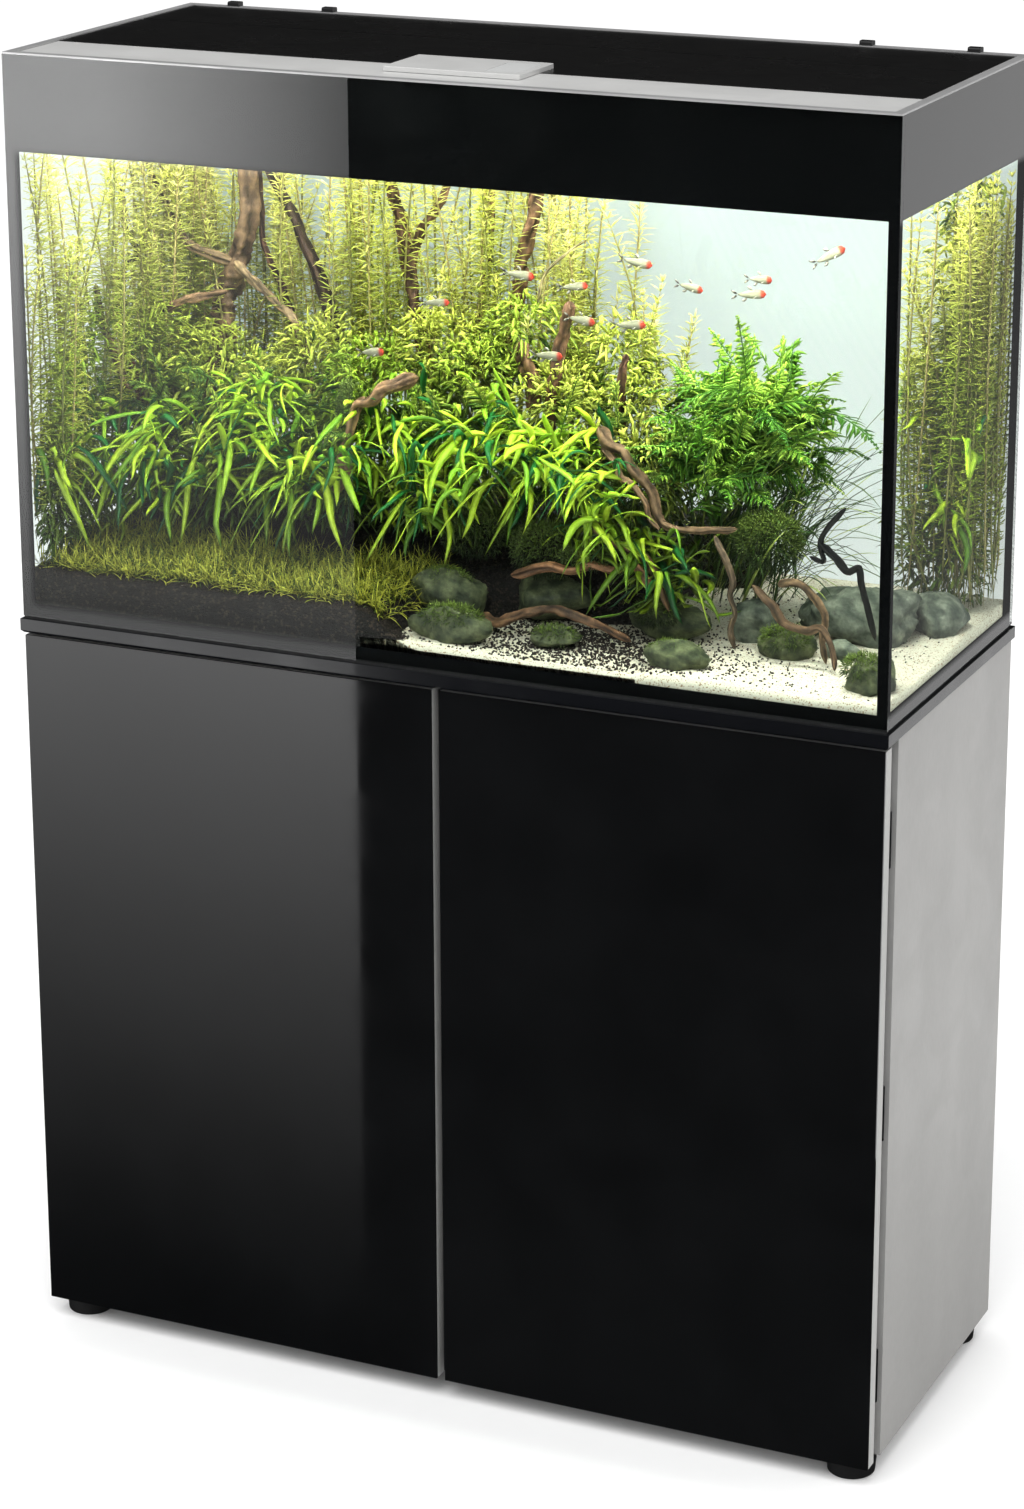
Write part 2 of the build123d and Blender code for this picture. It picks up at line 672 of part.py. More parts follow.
def make_beds():
    """Planting soil that rises towards the back, and sand at the front right."""
    with BuildPart() as soil:
        with BuildSketch(Plane.YZ.offset(-BED_X)) as section:
            with BuildLine():
                Polyline(
                    (-BED_Y, FLOOR_Z),
                    (BED_Y, FLOOR_Z),
                    (BED_Y, SOIL_BACK_TOP),
                    (-BED_Y, SOIL_FRONT_TOP),
                    close=True,
                )
            make_face()
        extrude(section.sketch, amount=SAND_BACK_X + BED_X)
        cut_z = (FLOOR_Z, SOIL_BACK_TOP)
        slab((SAND_FRONT_X, SAND_BACK_X), (-BED_Y, SAND_STEP_Y), cut_z, Mode.SUBTRACT)
    keep(soil, "soil_bed")
    with BuildPart() as sand:
        slab((SAND_FRONT_X, BED_X), (-BED_Y, SAND_STEP_Y), (FLOOR_Z, SAND_TOP))
        slab((SAND_BACK_X, BED_X), (SAND_STEP_Y, BED_Y), (FLOOR_Z, SAND_TOP))
    keep(sand, "sand_bed")


def make_stones():
    """Loose stones lying on the sand."""
    with BuildPart() as group:
        for centre, half_axes, height in STONES:
            mound(centre, half_axes, SAND_TOP, height)
    keep(group, "stones")


def make_driftwood():
    """Upright trunks behind the ferns and roots that reach over the sand."""
    with BuildPart() as wood:
        for start, end, start_radius, end_radius in BRANCHES:
            taper_rod(start, end, start_radius, end_radius)
    keep(wood, "driftwood")


def soil_top(y):
    """Height of the soil's sloping top at a given depth."""
    return SOIL_FRONT_TOP + (SOIL_BACK_TOP - SOIL_FRONT_TOP) * (y + BED_Y) / (2 * BED_Y)


def make_plants():
    """Simple solids with the outer shape of each group of plants."""
    with BuildPart() as stems:
        profile_prism(STEM_OUTLINE, STEM_Y)
    keep(stems, "stem_plants")
    with BuildPart() as ferns:
        profile_prism(FERN_OUTLINE, FERN_Y)
        mound(*FERN_BUSH)
    keep(ferns, "fern_plants")
    with BuildPart() as grass:
        mound(*GRASS_CLUMP)
    keep(grass, "grass_plants")
    make_panel("corner_plants", CORNER_X, CORNER_Y, CORNER_Z)
    with BuildPart() as carpet:
        low_y, high_y = CARPET_Y
        low_z = soil_top(low_y) + CARPET_GAP
        high_z = soil_top(high_y) + CARPET_GAP
        with BuildSketch(Plane.YZ.offset(-PLANT_X)) as section:
            with BuildLine():
                Polyline(
                    (low_y, low_z),
                    (high_y, high_z),
                    (high_y, high_z + CARPET_BLADE),
                    (low_y, low_z + CARPET_BLADE),
                    close=True,
                )
            make_face()
        extrude(section.sketch, amount=PLANT_X + CARPET_END_X)
    keep(carpet, "carpet_plants")


def main():
    """Makes every sub-part and writes it to its own file."""
    os.makedirs("parts", exist_ok=True)
    make_carcass()
    make_top_board()
    make_face_frame()
    make_shelf()
    make_feet()
    make_hinges()
    make_doors()
    make_latches()
    make_glass()
    make_borders()
    make_seams()
    make_cover_rails()
    make_light_bar()
    make_lid()
    make_handle()
    make_rear_clips()
    make_beds()
    make_stones()
    make_driftwood()
    make_plants()


main()
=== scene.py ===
"""Looks of the planted aquarium on its two-door stand: finishes, planting, stones, wood, fish and stage."""

import math

import bpy
import numpy as np
from mathutils import Matrix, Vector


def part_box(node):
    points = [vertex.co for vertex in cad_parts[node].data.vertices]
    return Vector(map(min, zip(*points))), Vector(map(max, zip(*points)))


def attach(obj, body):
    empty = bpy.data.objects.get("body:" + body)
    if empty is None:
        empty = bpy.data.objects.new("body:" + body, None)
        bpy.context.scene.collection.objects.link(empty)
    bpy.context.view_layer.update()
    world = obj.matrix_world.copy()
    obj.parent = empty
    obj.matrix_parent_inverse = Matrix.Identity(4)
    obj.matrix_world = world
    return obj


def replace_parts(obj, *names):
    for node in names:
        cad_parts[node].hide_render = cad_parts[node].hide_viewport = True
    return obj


bl_info = {
    "name": "Planted Aquarium on Stand",
    "version": (1, 0, 0),
    "blender": (4, 5, 0),
    "location": "View3D > Sidebar > Aquarium",
    "description": "Builds the finishes, planting, stones, wood and fish of an aquarium on its stand",
    "category": "Add Mesh",
}

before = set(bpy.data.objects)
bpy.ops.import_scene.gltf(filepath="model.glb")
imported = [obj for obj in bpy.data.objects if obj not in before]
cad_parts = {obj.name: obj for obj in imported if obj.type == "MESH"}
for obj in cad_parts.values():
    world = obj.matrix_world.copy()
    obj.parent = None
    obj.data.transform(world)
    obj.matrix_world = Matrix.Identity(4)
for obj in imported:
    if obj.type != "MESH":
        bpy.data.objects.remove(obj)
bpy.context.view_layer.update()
NODES = (
    "soil_bed sand_bed stem_plants fern_plants grass_plants corner_plants carpet_plants back_glass light_bar led_tubes"
)
BOXES = {name: np.array(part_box(name)) for name in NODES.split()}
TANK_LOW = BOXES["soil_bed"][0]
TANK_HIGH = np.array([-TANK_LOW[0], -TANK_LOW[1], BOXES["back_glass"][1][2]])
FRONT_LIMIT, BACK_LIMIT = -0.188, 0.186
STEM_TOP = 1.392
STEM_FOOT = 0.925
SOIL_BOTTOM, SAND_BOTTOM = 0.8541, 0.8543
WATER_BOTTOM, WATER_LEVEL = 1.3945, 1.3965
LAMP_HEIGHT = 1.424
WARM_LIGHT, SOFT_WARM_LIGHT, COOL_WARM_LIGHT = (1.0, 0.98, 0.93), (1.0, 0.99, 0.95), (1.0, 0.99, 0.97)
UP = np.array([0.0, 0.0, 1.0])


# ---------------------------------------------------------------- colour and number helpers


def screen(red, green, blue):
    """A screen colour from 0 to 255 as linear light: the sRGB curve undone channel by channel."""
    value = np.array([red, green, blue], float) / 255
    linear = np.where(value <= 0.04045, value / 12.92, ((value + 0.055) / 1.055) ** 2.4)
    return tuple(float(x) for x in linear)


def unit(vectors):
    """Each vector divided by its length."""
    return vectors / np.maximum(np.linalg.norm(vectors, axis=-1, keepdims=True), 1e-9)


def ease(value, low, high):
    """A smooth step: 0 below low, 1 above high, and three t squared minus two t cubed between."""
    t = np.clip((value - low) / (high - low), 0, 1)
    return t * t * (3 - 2 * t)


def ripple(points, wavelength, seed, octaves=3):
    """A smooth noise: the mean of six sine waves in random directions, plus finer copies at half the height."""
    rng = np.random.default_rng(seed)
    total = np.zeros(points.shape[:-1])
    for octave in range(octaves):
        waves = unit(rng.normal(size=(6, 3))) * (2 * math.pi * 2**octave / wavelength)
        phase = rng.uniform(0, 2 * math.pi, 6)
        total += np.sin(points @ waves.T + phase).mean(-1) * 1.8 / 2**octave
    return total


def heading(angle):
    """Level unit vectors at the given angles from +X: cosine, sine and zero."""
    return np.stack([np.cos(angle), np.sin(angle), 0 * angle], -1)


def sideways(angle):
    """Level unit vectors a quarter turn to the left of the heading."""
    return np.stack([-np.sin(angle), np.cos(angle), 0 * angle], -1)


def level_points(x, y):
    """Points at x, y and height zero."""
    return np.stack([x, y, 0 * x], -1)


def keep_inside(points, across=None, deep=None):
    """Points with x held between the two ends of across, and y between those of deep, in place."""
    for axis, ends in enumerate((across, deep)):
        if ends:
            points[..., axis] = np.clip(points[..., axis], *ends)
    return points


def blend_tints(first, second, share):
    """Two tints mixed by a share for each row."""
    return np.array(first) * (1 - share[..., None]) + np.array(second) * share[..., None]


# ---------------------------------------------------------------- mesh helpers


def put_mesh(name, parts, material, body="cabinet", tints=None, smooth=True):
    """One mesh object from several (points, quads, triangles) parts, with a tint for each point if given."""
    points = np.concatenate([p[0].reshape(-1, 3) for p in parts])
    starts = np.cumsum([0] + [p[0].reshape(-1, 3).shape[0] for p in parts[:-1]])
    quads = np.concatenate([p[1].reshape(-1, 4) + s for p, s in zip(parts, starts)])
    triangles = np.concatenate([p[2].reshape(-1, 3) + s for p, s in zip(parts, starts)])
    corners = np.concatenate([quads.ravel(), triangles.ravel()]).astype(np.int32)
    sizes = np.concatenate([np.full(len(quads), 4), np.full(len(triangles), 3)])
    first = np.concatenate([[0], np.cumsum(sizes)[:-1]]).astype(np.int32)
    mesh = bpy.data.meshes.new(name)
    mesh.vertices.add(len(points))
    mesh.vertices.foreach_set("co", points.astype(np.float32).ravel())
    mesh.loops.add(len(corners))
    mesh.loops.foreach_set("vertex_index", corners)
    mesh.polygons.add(len(sizes))
    mesh.polygons.foreach_set("loop_start", first)
    mesh.polygons.foreach_set("use_smooth", np.full(len(sizes), smooth))
    mesh.update(calc_edges=True)
    if tints is not None:
        rgba = np.ones((len(points), 4), np.float32)
        rgba[:, :3] = np.concatenate([t.reshape(-1, 3) for t in tints])
        layer = mesh.attributes.new("tint", "FLOAT_COLOR", "POINT")
        layer.data.foreach_set("color", rgba.ravel())
    mesh.materials.append(material)
    obj = bpy.data.objects.new(name, mesh)
    bpy.context.scene.collection.objects.link(obj)
    if body:
        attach(obj, body)
    return obj


def round_faces(ring, stations):
    """Quads between rings of points and triangles to the single point at each end, for one closed body."""
    j = np.arange(ring)
    k = (j + 1) % ring
    row = 1 + np.arange(stations - 3)[:, None] * ring
    quads = np.stack([row + j, row + k, row + k + ring, row + j + ring], -1).reshape(-1, 4)
    last = 1 + (stations - 3) * ring
    near = np.stack([0 * j, 1 + k, 1 + j], -1)
    far = np.stack([0 * j + last + ring, last + j, last + k], -1)
    return quads, np.concatenate([near, far])


def spindles(path, side, width, thick, ring=4, swell=None, *, tint):
    """Closed tapered bodies, one for each path: a ring of points at every inner station, a single point at each end.

    A ring point is the path point plus cos(angle) x width along the side direction plus sin(angle) x thickness
    along the direction square to both the path and the side. A tint is given for each path, for each station of
    each path, or for each point of each ring.
    """
    many, stations = path.shape[:2]
    along = unit(np.gradient(path, axis=1))
    across = np.broadcast_to(side, path.shape)
    across = unit(across - along * (across * along).sum(-1, keepdims=True))
    deep = np.cross(along, across)
    angle = np.arange(ring) * 2 * math.pi / ring
    wide = np.broadcast_to(width, (many, stations))[:, 1:-1, None, None]
    slim = np.broadcast_to(thick, (many, stations))[:, 1:-1, None, None]
    offset = (
        across[:, 1:-1, None] * wide * np.cos(angle)[None, None, :, None]
        + deep[:, 1:-1, None] * slim * np.sin(angle)[None, None, :, None]
    )
    if swell is not None:
        offset = offset * swell[:, 1:-1, :, None]
    rings = path[:, 1:-1, None] + offset
    each = ring * (stations - 2) + 2
    points = np.concatenate([path[:, :1], rings.reshape(many, -1, 3), path[:, -1:]], 1)
    base = (np.arange(many) * each)[:, None, None]
    quads, triangles = round_faces(ring, stations)
    part = (points, quads[None] + base, triangles[None] + base)
    if tint.ndim == 4:
        return part, np.concatenate([tint[:, 0, :1], tint[:, 1:-1].reshape(many, -1, 3), tint[:, -1, :1]], 1)
    tint = np.broadcast_to(tint if tint.ndim == 3 else tint[:, None], (many, stations, 3))
    middle = np.repeat(tint[:, 1:-1], ring, axis=1)
    return part, np.concatenate([tint[:, :1], middle, tint[:, -1:]], 1)


def height_block(x, y, top, floor):
    """A closed block: a grid of heights on top, the same grid flat below, and a wall round the edge."""
    rows, columns = top.shape
    grid_x, grid_y = np.meshgrid(x, y, indexing="ij")
    upper = np.stack([grid_x, grid_y, top], -1).reshape(-1, 3)
    lower = np.stack([grid_x, grid_y, np.full_like(top, floor)], -1).reshape(-1, 3)
    index = np.arange(rows * columns).reshape(rows, columns)
    a, b, c, d = index[:-1, :-1], index[1:, :-1], index[1:, 1:], index[:-1, 1:]
    face = np.stack([a, b, c, d], -1).reshape(-1, 4)
    edge = np.concatenate([index[:-1, 0], index[-1, :-1], index[:0:-1, -1], index[0, :0:-1]])
    after = np.roll(edge, -1)
    below = rows * columns
    wall = np.stack([edge, edge + below, after + below, after], -1)
    quads = np.concatenate([face, face[:, ::-1] + below, wall])
    return np.concatenate([upper, lower]), quads, np.zeros((0, 3), int)


def smooth_path(points, count):
    """A Catmull-Rom curve through points in mm, sampled evenly in its own parameter, in metres."""
    points = np.asarray(points, float) / 1000
    padded = np.concatenate([2 * points[:1] - points[1:2], points, 2 * points[-1:] - points[-2:-1]])
    t = np.linspace(0, len(points) - 1 - 1e-6, count)
    i = t.astype(int)
    u = (t - i)[:, None]
    p0, p1, p2, p3 = padded[i], padded[i + 1], padded[i + 2], padded[i + 3]
    return 0.5 * (
        2 * p1 + (p2 - p0) * u + (2 * p0 - 5 * p1 + 4 * p2 - p3) * u**2
        + (3 * p1 - p0 - 3 * p2 + p3) * u**3
    )


def branch(points, start, end, tint, seed, rough=0.28, ring=18, step=0.003):
    """A bark-covered branch: a tube along a smooth path whose radius shrinks from start to end (mm).

    The radius is multiplied by one plus long ridges that twist slowly round it, plus a smooth noise, and it closes
    to a point over the last few stations at both ends. The tint carries painted shade in the grooves between the
    ridges, over a random tone along the bark.
    """
    length = np.linalg.norm(np.diff(np.asarray(points, float), axis=0), axis=1).sum() / 1000
    count = max(10, int(length / step))
    path = smooth_path(points, count)[None]
    s = np.linspace(0, 1, count)
    rng = np.random.default_rng(seed)
    wander = np.stack([ripple(path[0], 0.09, seed + k) for k in range(3)], -1)
    path = path + (wander * min(start, end) * 0.00035)[None]
    radius = (start + (end - start) * s) / 1000
    cap = np.minimum(1, np.sqrt(np.clip(np.minimum(s, 1 - s) * count / 3.0, 0, 1)))
    angle = np.arange(ring) * 2 * math.pi / ring
    mean = np.abs(np.diff(path[0], axis=0)).mean(0)
    side = np.eye(3)[int(np.argmin(mean))]
    turns = rng.uniform(-3, 3)
    ridge = np.sin(angle[None] * 3 + turns * s[:, None] * 3 + rng.uniform(0, 6))
    ridge = ridge + 0.6 * np.sin(angle[None] * 5 - turns * s[:, None] * 5 + rng.uniform(0, 6))
    round_points = np.stack(
        [np.cos(angle)[None] * 0.02 + s[:, None] * 0, np.sin(angle)[None] * 0.02 + s[:, None] * 0,
         s[:, None] * length + angle[None] * 0], -1)
    lumps = ripple(round_points, 0.035, seed + 7)
    swell = 1 + rough * (0.55 * ridge + 0.9 * lumps)
    # Painted shade: the tint darkens where the ridges and lumps sink into grooves, on top of a random tone along the
    # bark.
    shade = 0.72 + 0.3 * ripple(path[0], 0.06, seed + 9)[:, None] + 0.24 * ridge + 0.42 * lumps
    shade = shade + 0.3 * ripple(round_points * np.array([2.0, 2.0, 0.6]), 0.014, seed + 11)
    tone = np.clip(shade, 0.22, 1.5)[None, :, :, None] * np.array(tint)
    return spindles(path, side, radius * cap, radius * cap, ring, np.clip(swell, 0.5, 1.6)[None], tint=tone)


def boulder(centre, half, seed, facets=14, rings=34, ring=52, rough=0.05):
    """A stone: for every direction the softened distance to the nearest random cutting plane, plus noise."""
    rng = np.random.default_rng(seed)
    polar = np.linspace(0, math.pi, rings)
    angle = np.arange(ring) * 2 * math.pi / ring
    directions = np.sin(polar)[:, None, None] * heading(angle) + np.cos(polar)[:, None, None] * UP
    planes = unit(rng.normal(size=(facets, 3)))
    reach = rng.uniform(0.62, 1.0, facets)
    facing = np.maximum(directions @ planes.T, 0.05)
    sharp = 16.0
    distance = ((facing / reach) ** sharp).sum(-1) ** (-1 / sharp)
    distance = np.clip(distance, 0.5, 1.06)
    shape = directions * np.array(half) / 1000
    distance = distance + rough * ripple(shape, 0.03, seed + 1, 4) + rough * 0.4 * ripple(shape, 0.007, seed + 2, 2)
    surface = shape * distance[..., None] + np.array(centre) / 1000
    inner = surface[1:-1].reshape(-1, 3)
    top, low = surface[0].mean(0), surface[-1].mean(0)
    points = np.concatenate([top[None], inner, low[None]])
    quads, triangles = (np.roll(faces[:, ::-1], 1, -1) for faces in round_faces(ring, rings))
    return points, quads, triangles


# ---------------------------------------------------------------- shader helpers


def place(tree, kind, inputs=None, **settings):
    """A shader node with its settings, its inputs given as sockets to join or as plain values."""
    node = tree.nodes.new(kind)
    for key, value in settings.items():
        setattr(node, key, value)
    for key, value in (inputs or {}).items():
        if isinstance(value, bpy.types.NodeSocket):
            tree.links.new(value, node.inputs[key])
        else:
            node.inputs[key].default_value = value
    return node


def maths(tree, operation, *values):
    """The result of a Math node on sockets or numbers."""
    return place(tree, "ShaderNodeMath", dict(enumerate(values)), operation=operation).outputs[0]


def ranged(tree, value, low, high, start=0.0, end=1.0):
    """The result of a Map Range node from low and high to start and end."""
    inputs = {"Value": value, "From Min": low, "From Max": high, "To Min": start, "To Max": end}
    return place(tree, "ShaderNodeMapRange", inputs).outputs["Result"]


def cloudy(tree, where, scale, detail, **more):
    """The factor of a noise texture; more names its other inputs."""
    inputs = {"Vector": where, "Scale": scale, "Detail": detail, **more}
    return place(tree, "ShaderNodeTexNoise", inputs).outputs["Fac"]


def mix_tint(tree, share, first, second):
    """The mix by a share of two colours, each a socket or three numbers."""
    ends = [tint if isinstance(tint, bpy.types.NodeSocket) else (*tint, 1.0) for tint in (first, second)]
    return place(tree, "ShaderNodeMix", {"Factor": share, 6: ends[0], 7: ends[1]}, data_type="RGBA").outputs[2]


def object_place(tree):
    """The object coordinates."""
    return place(tree, "ShaderNodeTexCoord").outputs["Object"]


def new_group(name, inputs, outputs):
    """An empty shader node group with named inputs (kind, default) and outputs (kind)."""
    tree = bpy.data.node_groups.new(name, "ShaderNodeTree")
    for label, (kind, default) in inputs.items():
        socket = tree.interface.new_socket(label, in_out="INPUT", socket_type=kind)
        socket.default_value = default
    for label, kind in outputs.items():
        tree.interface.new_socket(label, in_out="OUTPUT", socket_type=kind)
    return tree, tree.nodes.new("NodeGroupInput"), tree.nodes.new("NodeGroupOutput")


def fine_grain():
    """Fine Grain: a stretched noise on object coordinates, as a tone from 0 to 1 and a height."""
    inputs = {"Scale": ("NodeSocketFloat", 400.0), "Stretch": ("NodeSocketVector", (1, 1, 1))}
    tree, start, end = new_group("Fine Grain", inputs, {"Tone": "NodeSocketFloat", "Height": "NodeSocketFloat"})
    stretch = {0: object_place(tree), 1: start.outputs["Stretch"]}
    pulled = place(tree, "ShaderNodeVectorMath", stretch, operation="MULTIPLY").outputs[0]
    fine = cloudy(tree, pulled, start.outputs["Scale"], 5.0, Roughness=0.6)
    both = maths(tree, "ADD", fine, cloudy(tree, pulled, 9.0, 3.0))
    tree.links.new(ranged(tree, both, 0.75, 1.25), end.inputs["Tone"])
    tree.links.new(fine, end.inputs["Height"])
    return tree


def smudges():
    """Smudges: a broad soft noise turned into a roughness between two values, as wiping and handling leave."""
    inputs = {"Low": ("NodeSocketFloat", 0.3), "High": ("NodeSocketFloat", 0.4)}
    tree, start, end = new_group("Smudges", inputs, {"Roughness": "NodeSocketFloat"})
    noise = cloudy(tree, object_place(tree), 14.0, 4.0, Distortion=0.6)
    rough = ranged(tree, noise, 0.35, 0.65, start.outputs["Low"], start.outputs["High"])
    tree.links.new(rough, end.inputs["Roughness"])
    return tree


def settled_dust():
    """Settled Dust: a mask that is 0 on walls and rises on faces that look upwards, broken up by a fine noise."""
    tree, start, end = new_group("Settled Dust", {"Amount": ("NodeSocketFloat", 0.2)}, {"Mask": "NodeSocketFloat"})
    up = place(tree, "ShaderNodeSeparateXYZ", {0: place(tree, "ShaderNodeNewGeometry").outputs["Normal"]})
    noise = cloudy(tree, object_place(tree), 60.0, 6.0, Roughness=0.7)
    level = maths(tree, "MULTIPLY", ranged(tree, up.outputs["Z"], 0.5, 1.0), noise)
    tree.links.new(maths(tree, "MULTIPLY", level, start.outputs["Amount"]), end.inputs["Mask"])
    return tree


def leaf_tint():
    """Leaf Tint: the piece's own tint attribute, lightened and darkened by a noise the size of a leaf."""
    inputs = {"Scale": ("NodeSocketFloat", 180.0), "Contrast": ("NodeSocketFloat", 0.3)}
    outputs = {"Colour": "NodeSocketColor", "Height": "NodeSocketFloat"}
    tree, start, end = new_group("Leaf Tint", inputs, outputs)
    tint = place(tree, "ShaderNodeAttribute", attribute_name="tint").outputs["Color"]
    noise = cloudy(tree, object_place(tree), start.outputs["Scale"], 3.0)
    less, more = (maths(tree, kind, 1.0, start.outputs["Contrast"]) for kind in ("SUBTRACT", "ADD"))
    share = ranged(tree, noise, 0.3, 0.7, less, more)
    colour = place(tree, "ShaderNodeVectorMath", {0: tint, "Scale": share}, operation="SCALE")
    tree.links.new(colour.outputs[0], end.inputs["Colour"])
    tree.links.new(noise, end.inputs["Height"])
    return tree


def effect(tree, maker, inputs):
    """A node that holds one of the shared effect groups, made the first time it is asked for."""
    name = maker.__name__.replace("_", " ").title()
    group = bpy.data.node_groups.get(name) or maker()
    node = tree.nodes.new("ShaderNodeGroup")
    node.node_tree = group
    for key, value in inputs.items():
        node.inputs[key].default_value = value
    return node


def new_finish(name):
    """A material with a Principled shader joined to its output: (material, tree, shader)."""
    material = bpy.data.materials.new(name)
    material.use_nodes = True
    tree = material.node_tree
    shader = next(n for n in tree.nodes if n.type == "BSDF_PRINCIPLED")
    return material, tree, shader


def surface(tree, shader, tint, low, high, height=None, bump=0.0, depth=0.0):
    """Joins a tint to a shader's colour, smudges between two roughness values, and a height as a relief."""
    tree.links.new(tint, shader.inputs["Base Color"])
    wiped = effect(tree, smudges, {"Low": low, "High": high})
    tree.links.new(wiped.outputs["Roughness"], shader.inputs["Roughness"])
    if height:
        relief = place(tree, "ShaderNodeBump", {"Height": height, "Strength": bump, "Distance": depth})
        tree.links.new(relief.outputs["Normal"], shader.inputs["Normal"])


def board_finish(name, colour, low, high, contrast, scale, stretch, bump, metallic=0.0, coat=0.0, dust=0.0,
                 depth=0.0002):
    """A painted, moulded or metal finish: grain in the colour, smudges in the roughness, and a fine relief."""
    material, tree, shader = new_finish(name)
    grain = effect(tree, fine_grain, {"Scale": scale, "Stretch": stretch})
    light = [min(c * (1 + contrast), 1.0) for c in colour]
    tint = mix_tint(tree, grain.outputs["Tone"], [c * (1 - contrast) for c in colour], light)
    if dust:
        mask = effect(tree, settled_dust, {"Amount": dust})
        tint = mix_tint(tree, mask.outputs["Mask"], tint, screen(150, 147, 140))
    surface(tree, shader, tint, low, high, grain.outputs["Height"], bump, depth)
    for key, value in (("Metallic", metallic), ("Coat Weight", coat), ("Coat Roughness", 0.03)):
        shader.inputs[key].default_value = value
    return material


def growing_finish(name, low, high, scale, contrast, bump=0.3, depth=0.0005):
    """A leaf, bark, stone or skin finish: its colour comes from the tint attribute, broken up by noise."""
    material, tree, shader = new_finish(name)
    tint = effect(tree, leaf_tint, {"Scale": scale, "Contrast": contrast})
    surface(tree, shader, tint.outputs["Colour"], low, high, tint.outputs["Height"], bump, depth)
    return material


def clear_finish(name, colour, index, let_in=1.0):
    """Glass or water: a clear shader that passes a share of the room's light straight through into the tank.

    The far side of a pane is wet, so it bends the light but hardly mirrors it.
    """
    material, tree, shader = new_finish(name)
    for key, value in (("Base Color", colour + (1.0,)), ("Roughness", 0.0), ("IOR", index),
                       ("Transmission Weight", 1.0)):
        shader.inputs[key].default_value = value
    path = place(tree, "ShaderNodeLightPath").outputs
    clear = place(tree, "ShaderNodeBsdfTransparent", {"Color": (*(c * let_in for c in colour), 1.0)})
    straight = maths(tree, "MAXIMUM", path["Is Shadow Ray"], path["Is Diffuse Ray"])
    bend = place(tree, "ShaderNodeBsdfRefraction", {"Color": colour + (1.0,), "Roughness": 0.0, "IOR": index})
    back = place(tree, "ShaderNodeNewGeometry").outputs["Backfacing"]
    pane = place(tree, "ShaderNodeMixShader", {0: back, 1: shader.outputs[0], 2: bend.outputs[0]})
    both = place(tree, "ShaderNodeMixShader", {0: straight, 1: pane.outputs[0], 2: clear.outputs[0]})
    output = next(n for n in tree.nodes if n.type == "OUTPUT_MATERIAL")
    tree.links.new(both.outputs[0], output.inputs["Surface"])
    return material


def speckled_finish(name, base, fleck, share, scale, bump, depth):
    """Sand, soil or foam: cells of two colours, some of them flecks, with a relief of the cells' roundness."""
    material, tree, shader = new_finish(name)
    cells = place(tree, "ShaderNodeTexVoronoi", {"Vector": object_place(tree), "Scale": scale}).outputs
    pick = place(tree, "ShaderNodeSeparateColor", {0: cells["Color"]}).outputs
    chosen = ranged(tree, pick[0], share, share + 0.02, 1.0, 0.0)
    grain = effect(tree, fine_grain, {"Scale": scale * 0.35})
    plain = mix_tint(tree, pick[1], [c * 0.78 for c in base], base)
    patchy = mix_tint(tree, grain.outputs["Tone"], [c * 0.8 for c in base], plain)
    rounded = maths(tree, "SUBTRACT", 1.0, cells["Distance"])
    surface(tree, shader, mix_tint(tree, chosen, patchy, fleck), 0.75, 0.9, rounded, bump, depth)
    return material


def dress(material, *nodes):
    """Gives CAD nodes a finish by filling their objects' material slots."""
    for name in nodes:
        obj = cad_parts[name]
        if not obj.material_slots:
            obj.data.materials.append(material)
        for slot in obj.material_slots:
            slot.material = material


def dress_boards(*rows):
    """Gives CAD nodes board finishes: each row has the nodes' names, board_finish's values and its named extras."""
    for nodes, *values, extras in rows:
        dress(board_finish(*values, **extras), *nodes.split())


# ---------------------------------------------------------------- settings


def colour_setting(name, description, default):
    """A colour that a user may change."""
    return bpy.props.FloatVectorProperty(name=name, description=description, subtype="COLOR", default=default)


def length_setting(name, description, default):
    """A length in metres that a user may change."""
    return bpy.props.FloatProperty(
        name=name, description=description, subtype="DISTANCE", unit="LENGTH", default=default)


def power_setting(name, description, default):
    """A light's power in watts that a user may change."""
    return bpy.props.FloatProperty(name=name, description=description, subtype="POWER", unit="POWER", default=default)


class CabinetSettings(bpy.types.PropertyGroup):
    """Colours of the stand and the cover."""

    side: colour_setting("Side Panels", "Colour of the satin side panels", (0.315, 0.311, 0.304))
    gloss: colour_setting("Gloss Doors", "Colour of the gloss door sheets", (0.0035, 0.0037, 0.004))
    edge: colour_setting("Door Edges", "Colour of the light door edges", (0.4, 0.4, 0.39))
    metal: colour_setting("Light Bar", "Colour of the matt light bar and lift plate", (0.62, 0.62, 0.61))


class GroundSettings(bpy.types.PropertyGroup):
    """The planting soil and the sand."""

    soil_front: length_setting("Soil at the Front", "Height of the soil above the floor at the front pane", 0.897)
    sand: colour_setting("Sand", "Colour of the sand", screen(240, 234, 212))
    soil: colour_setting("Soil", "Colour of the planting soil", screen(27, 23, 21))
    granules: bpy.props.IntProperty(
        name="Dark Granules", description="Number of soil granules strewn on the sand", default=4200, min=0)


class PlantSettings(bpy.types.PropertyGroup):
    """Sizes of the plants."""

    stems: bpy.props.IntProperty(
        name="Stems", description="Number of fine-leaved stems along the back", default=165, min=1)
    needle: length_setting("Needle Length", "Length of a fine leaf on the stems", 0.023)
    strap: length_setting("Strap Leaf Length", "Length of a hanging strap leaf", 0.066)
    grass: length_setting("Hairgrass Height", "Height of the foreground hairgrass", 0.03)


class FishSettings(bpy.types.PropertyGroup):
    """The shoal."""

    length: length_setting("Fish Length", "Length of a fish from nose to tail", 0.034)
    head: colour_setting("Head", "Colour of the head", screen(158, 50, 34))


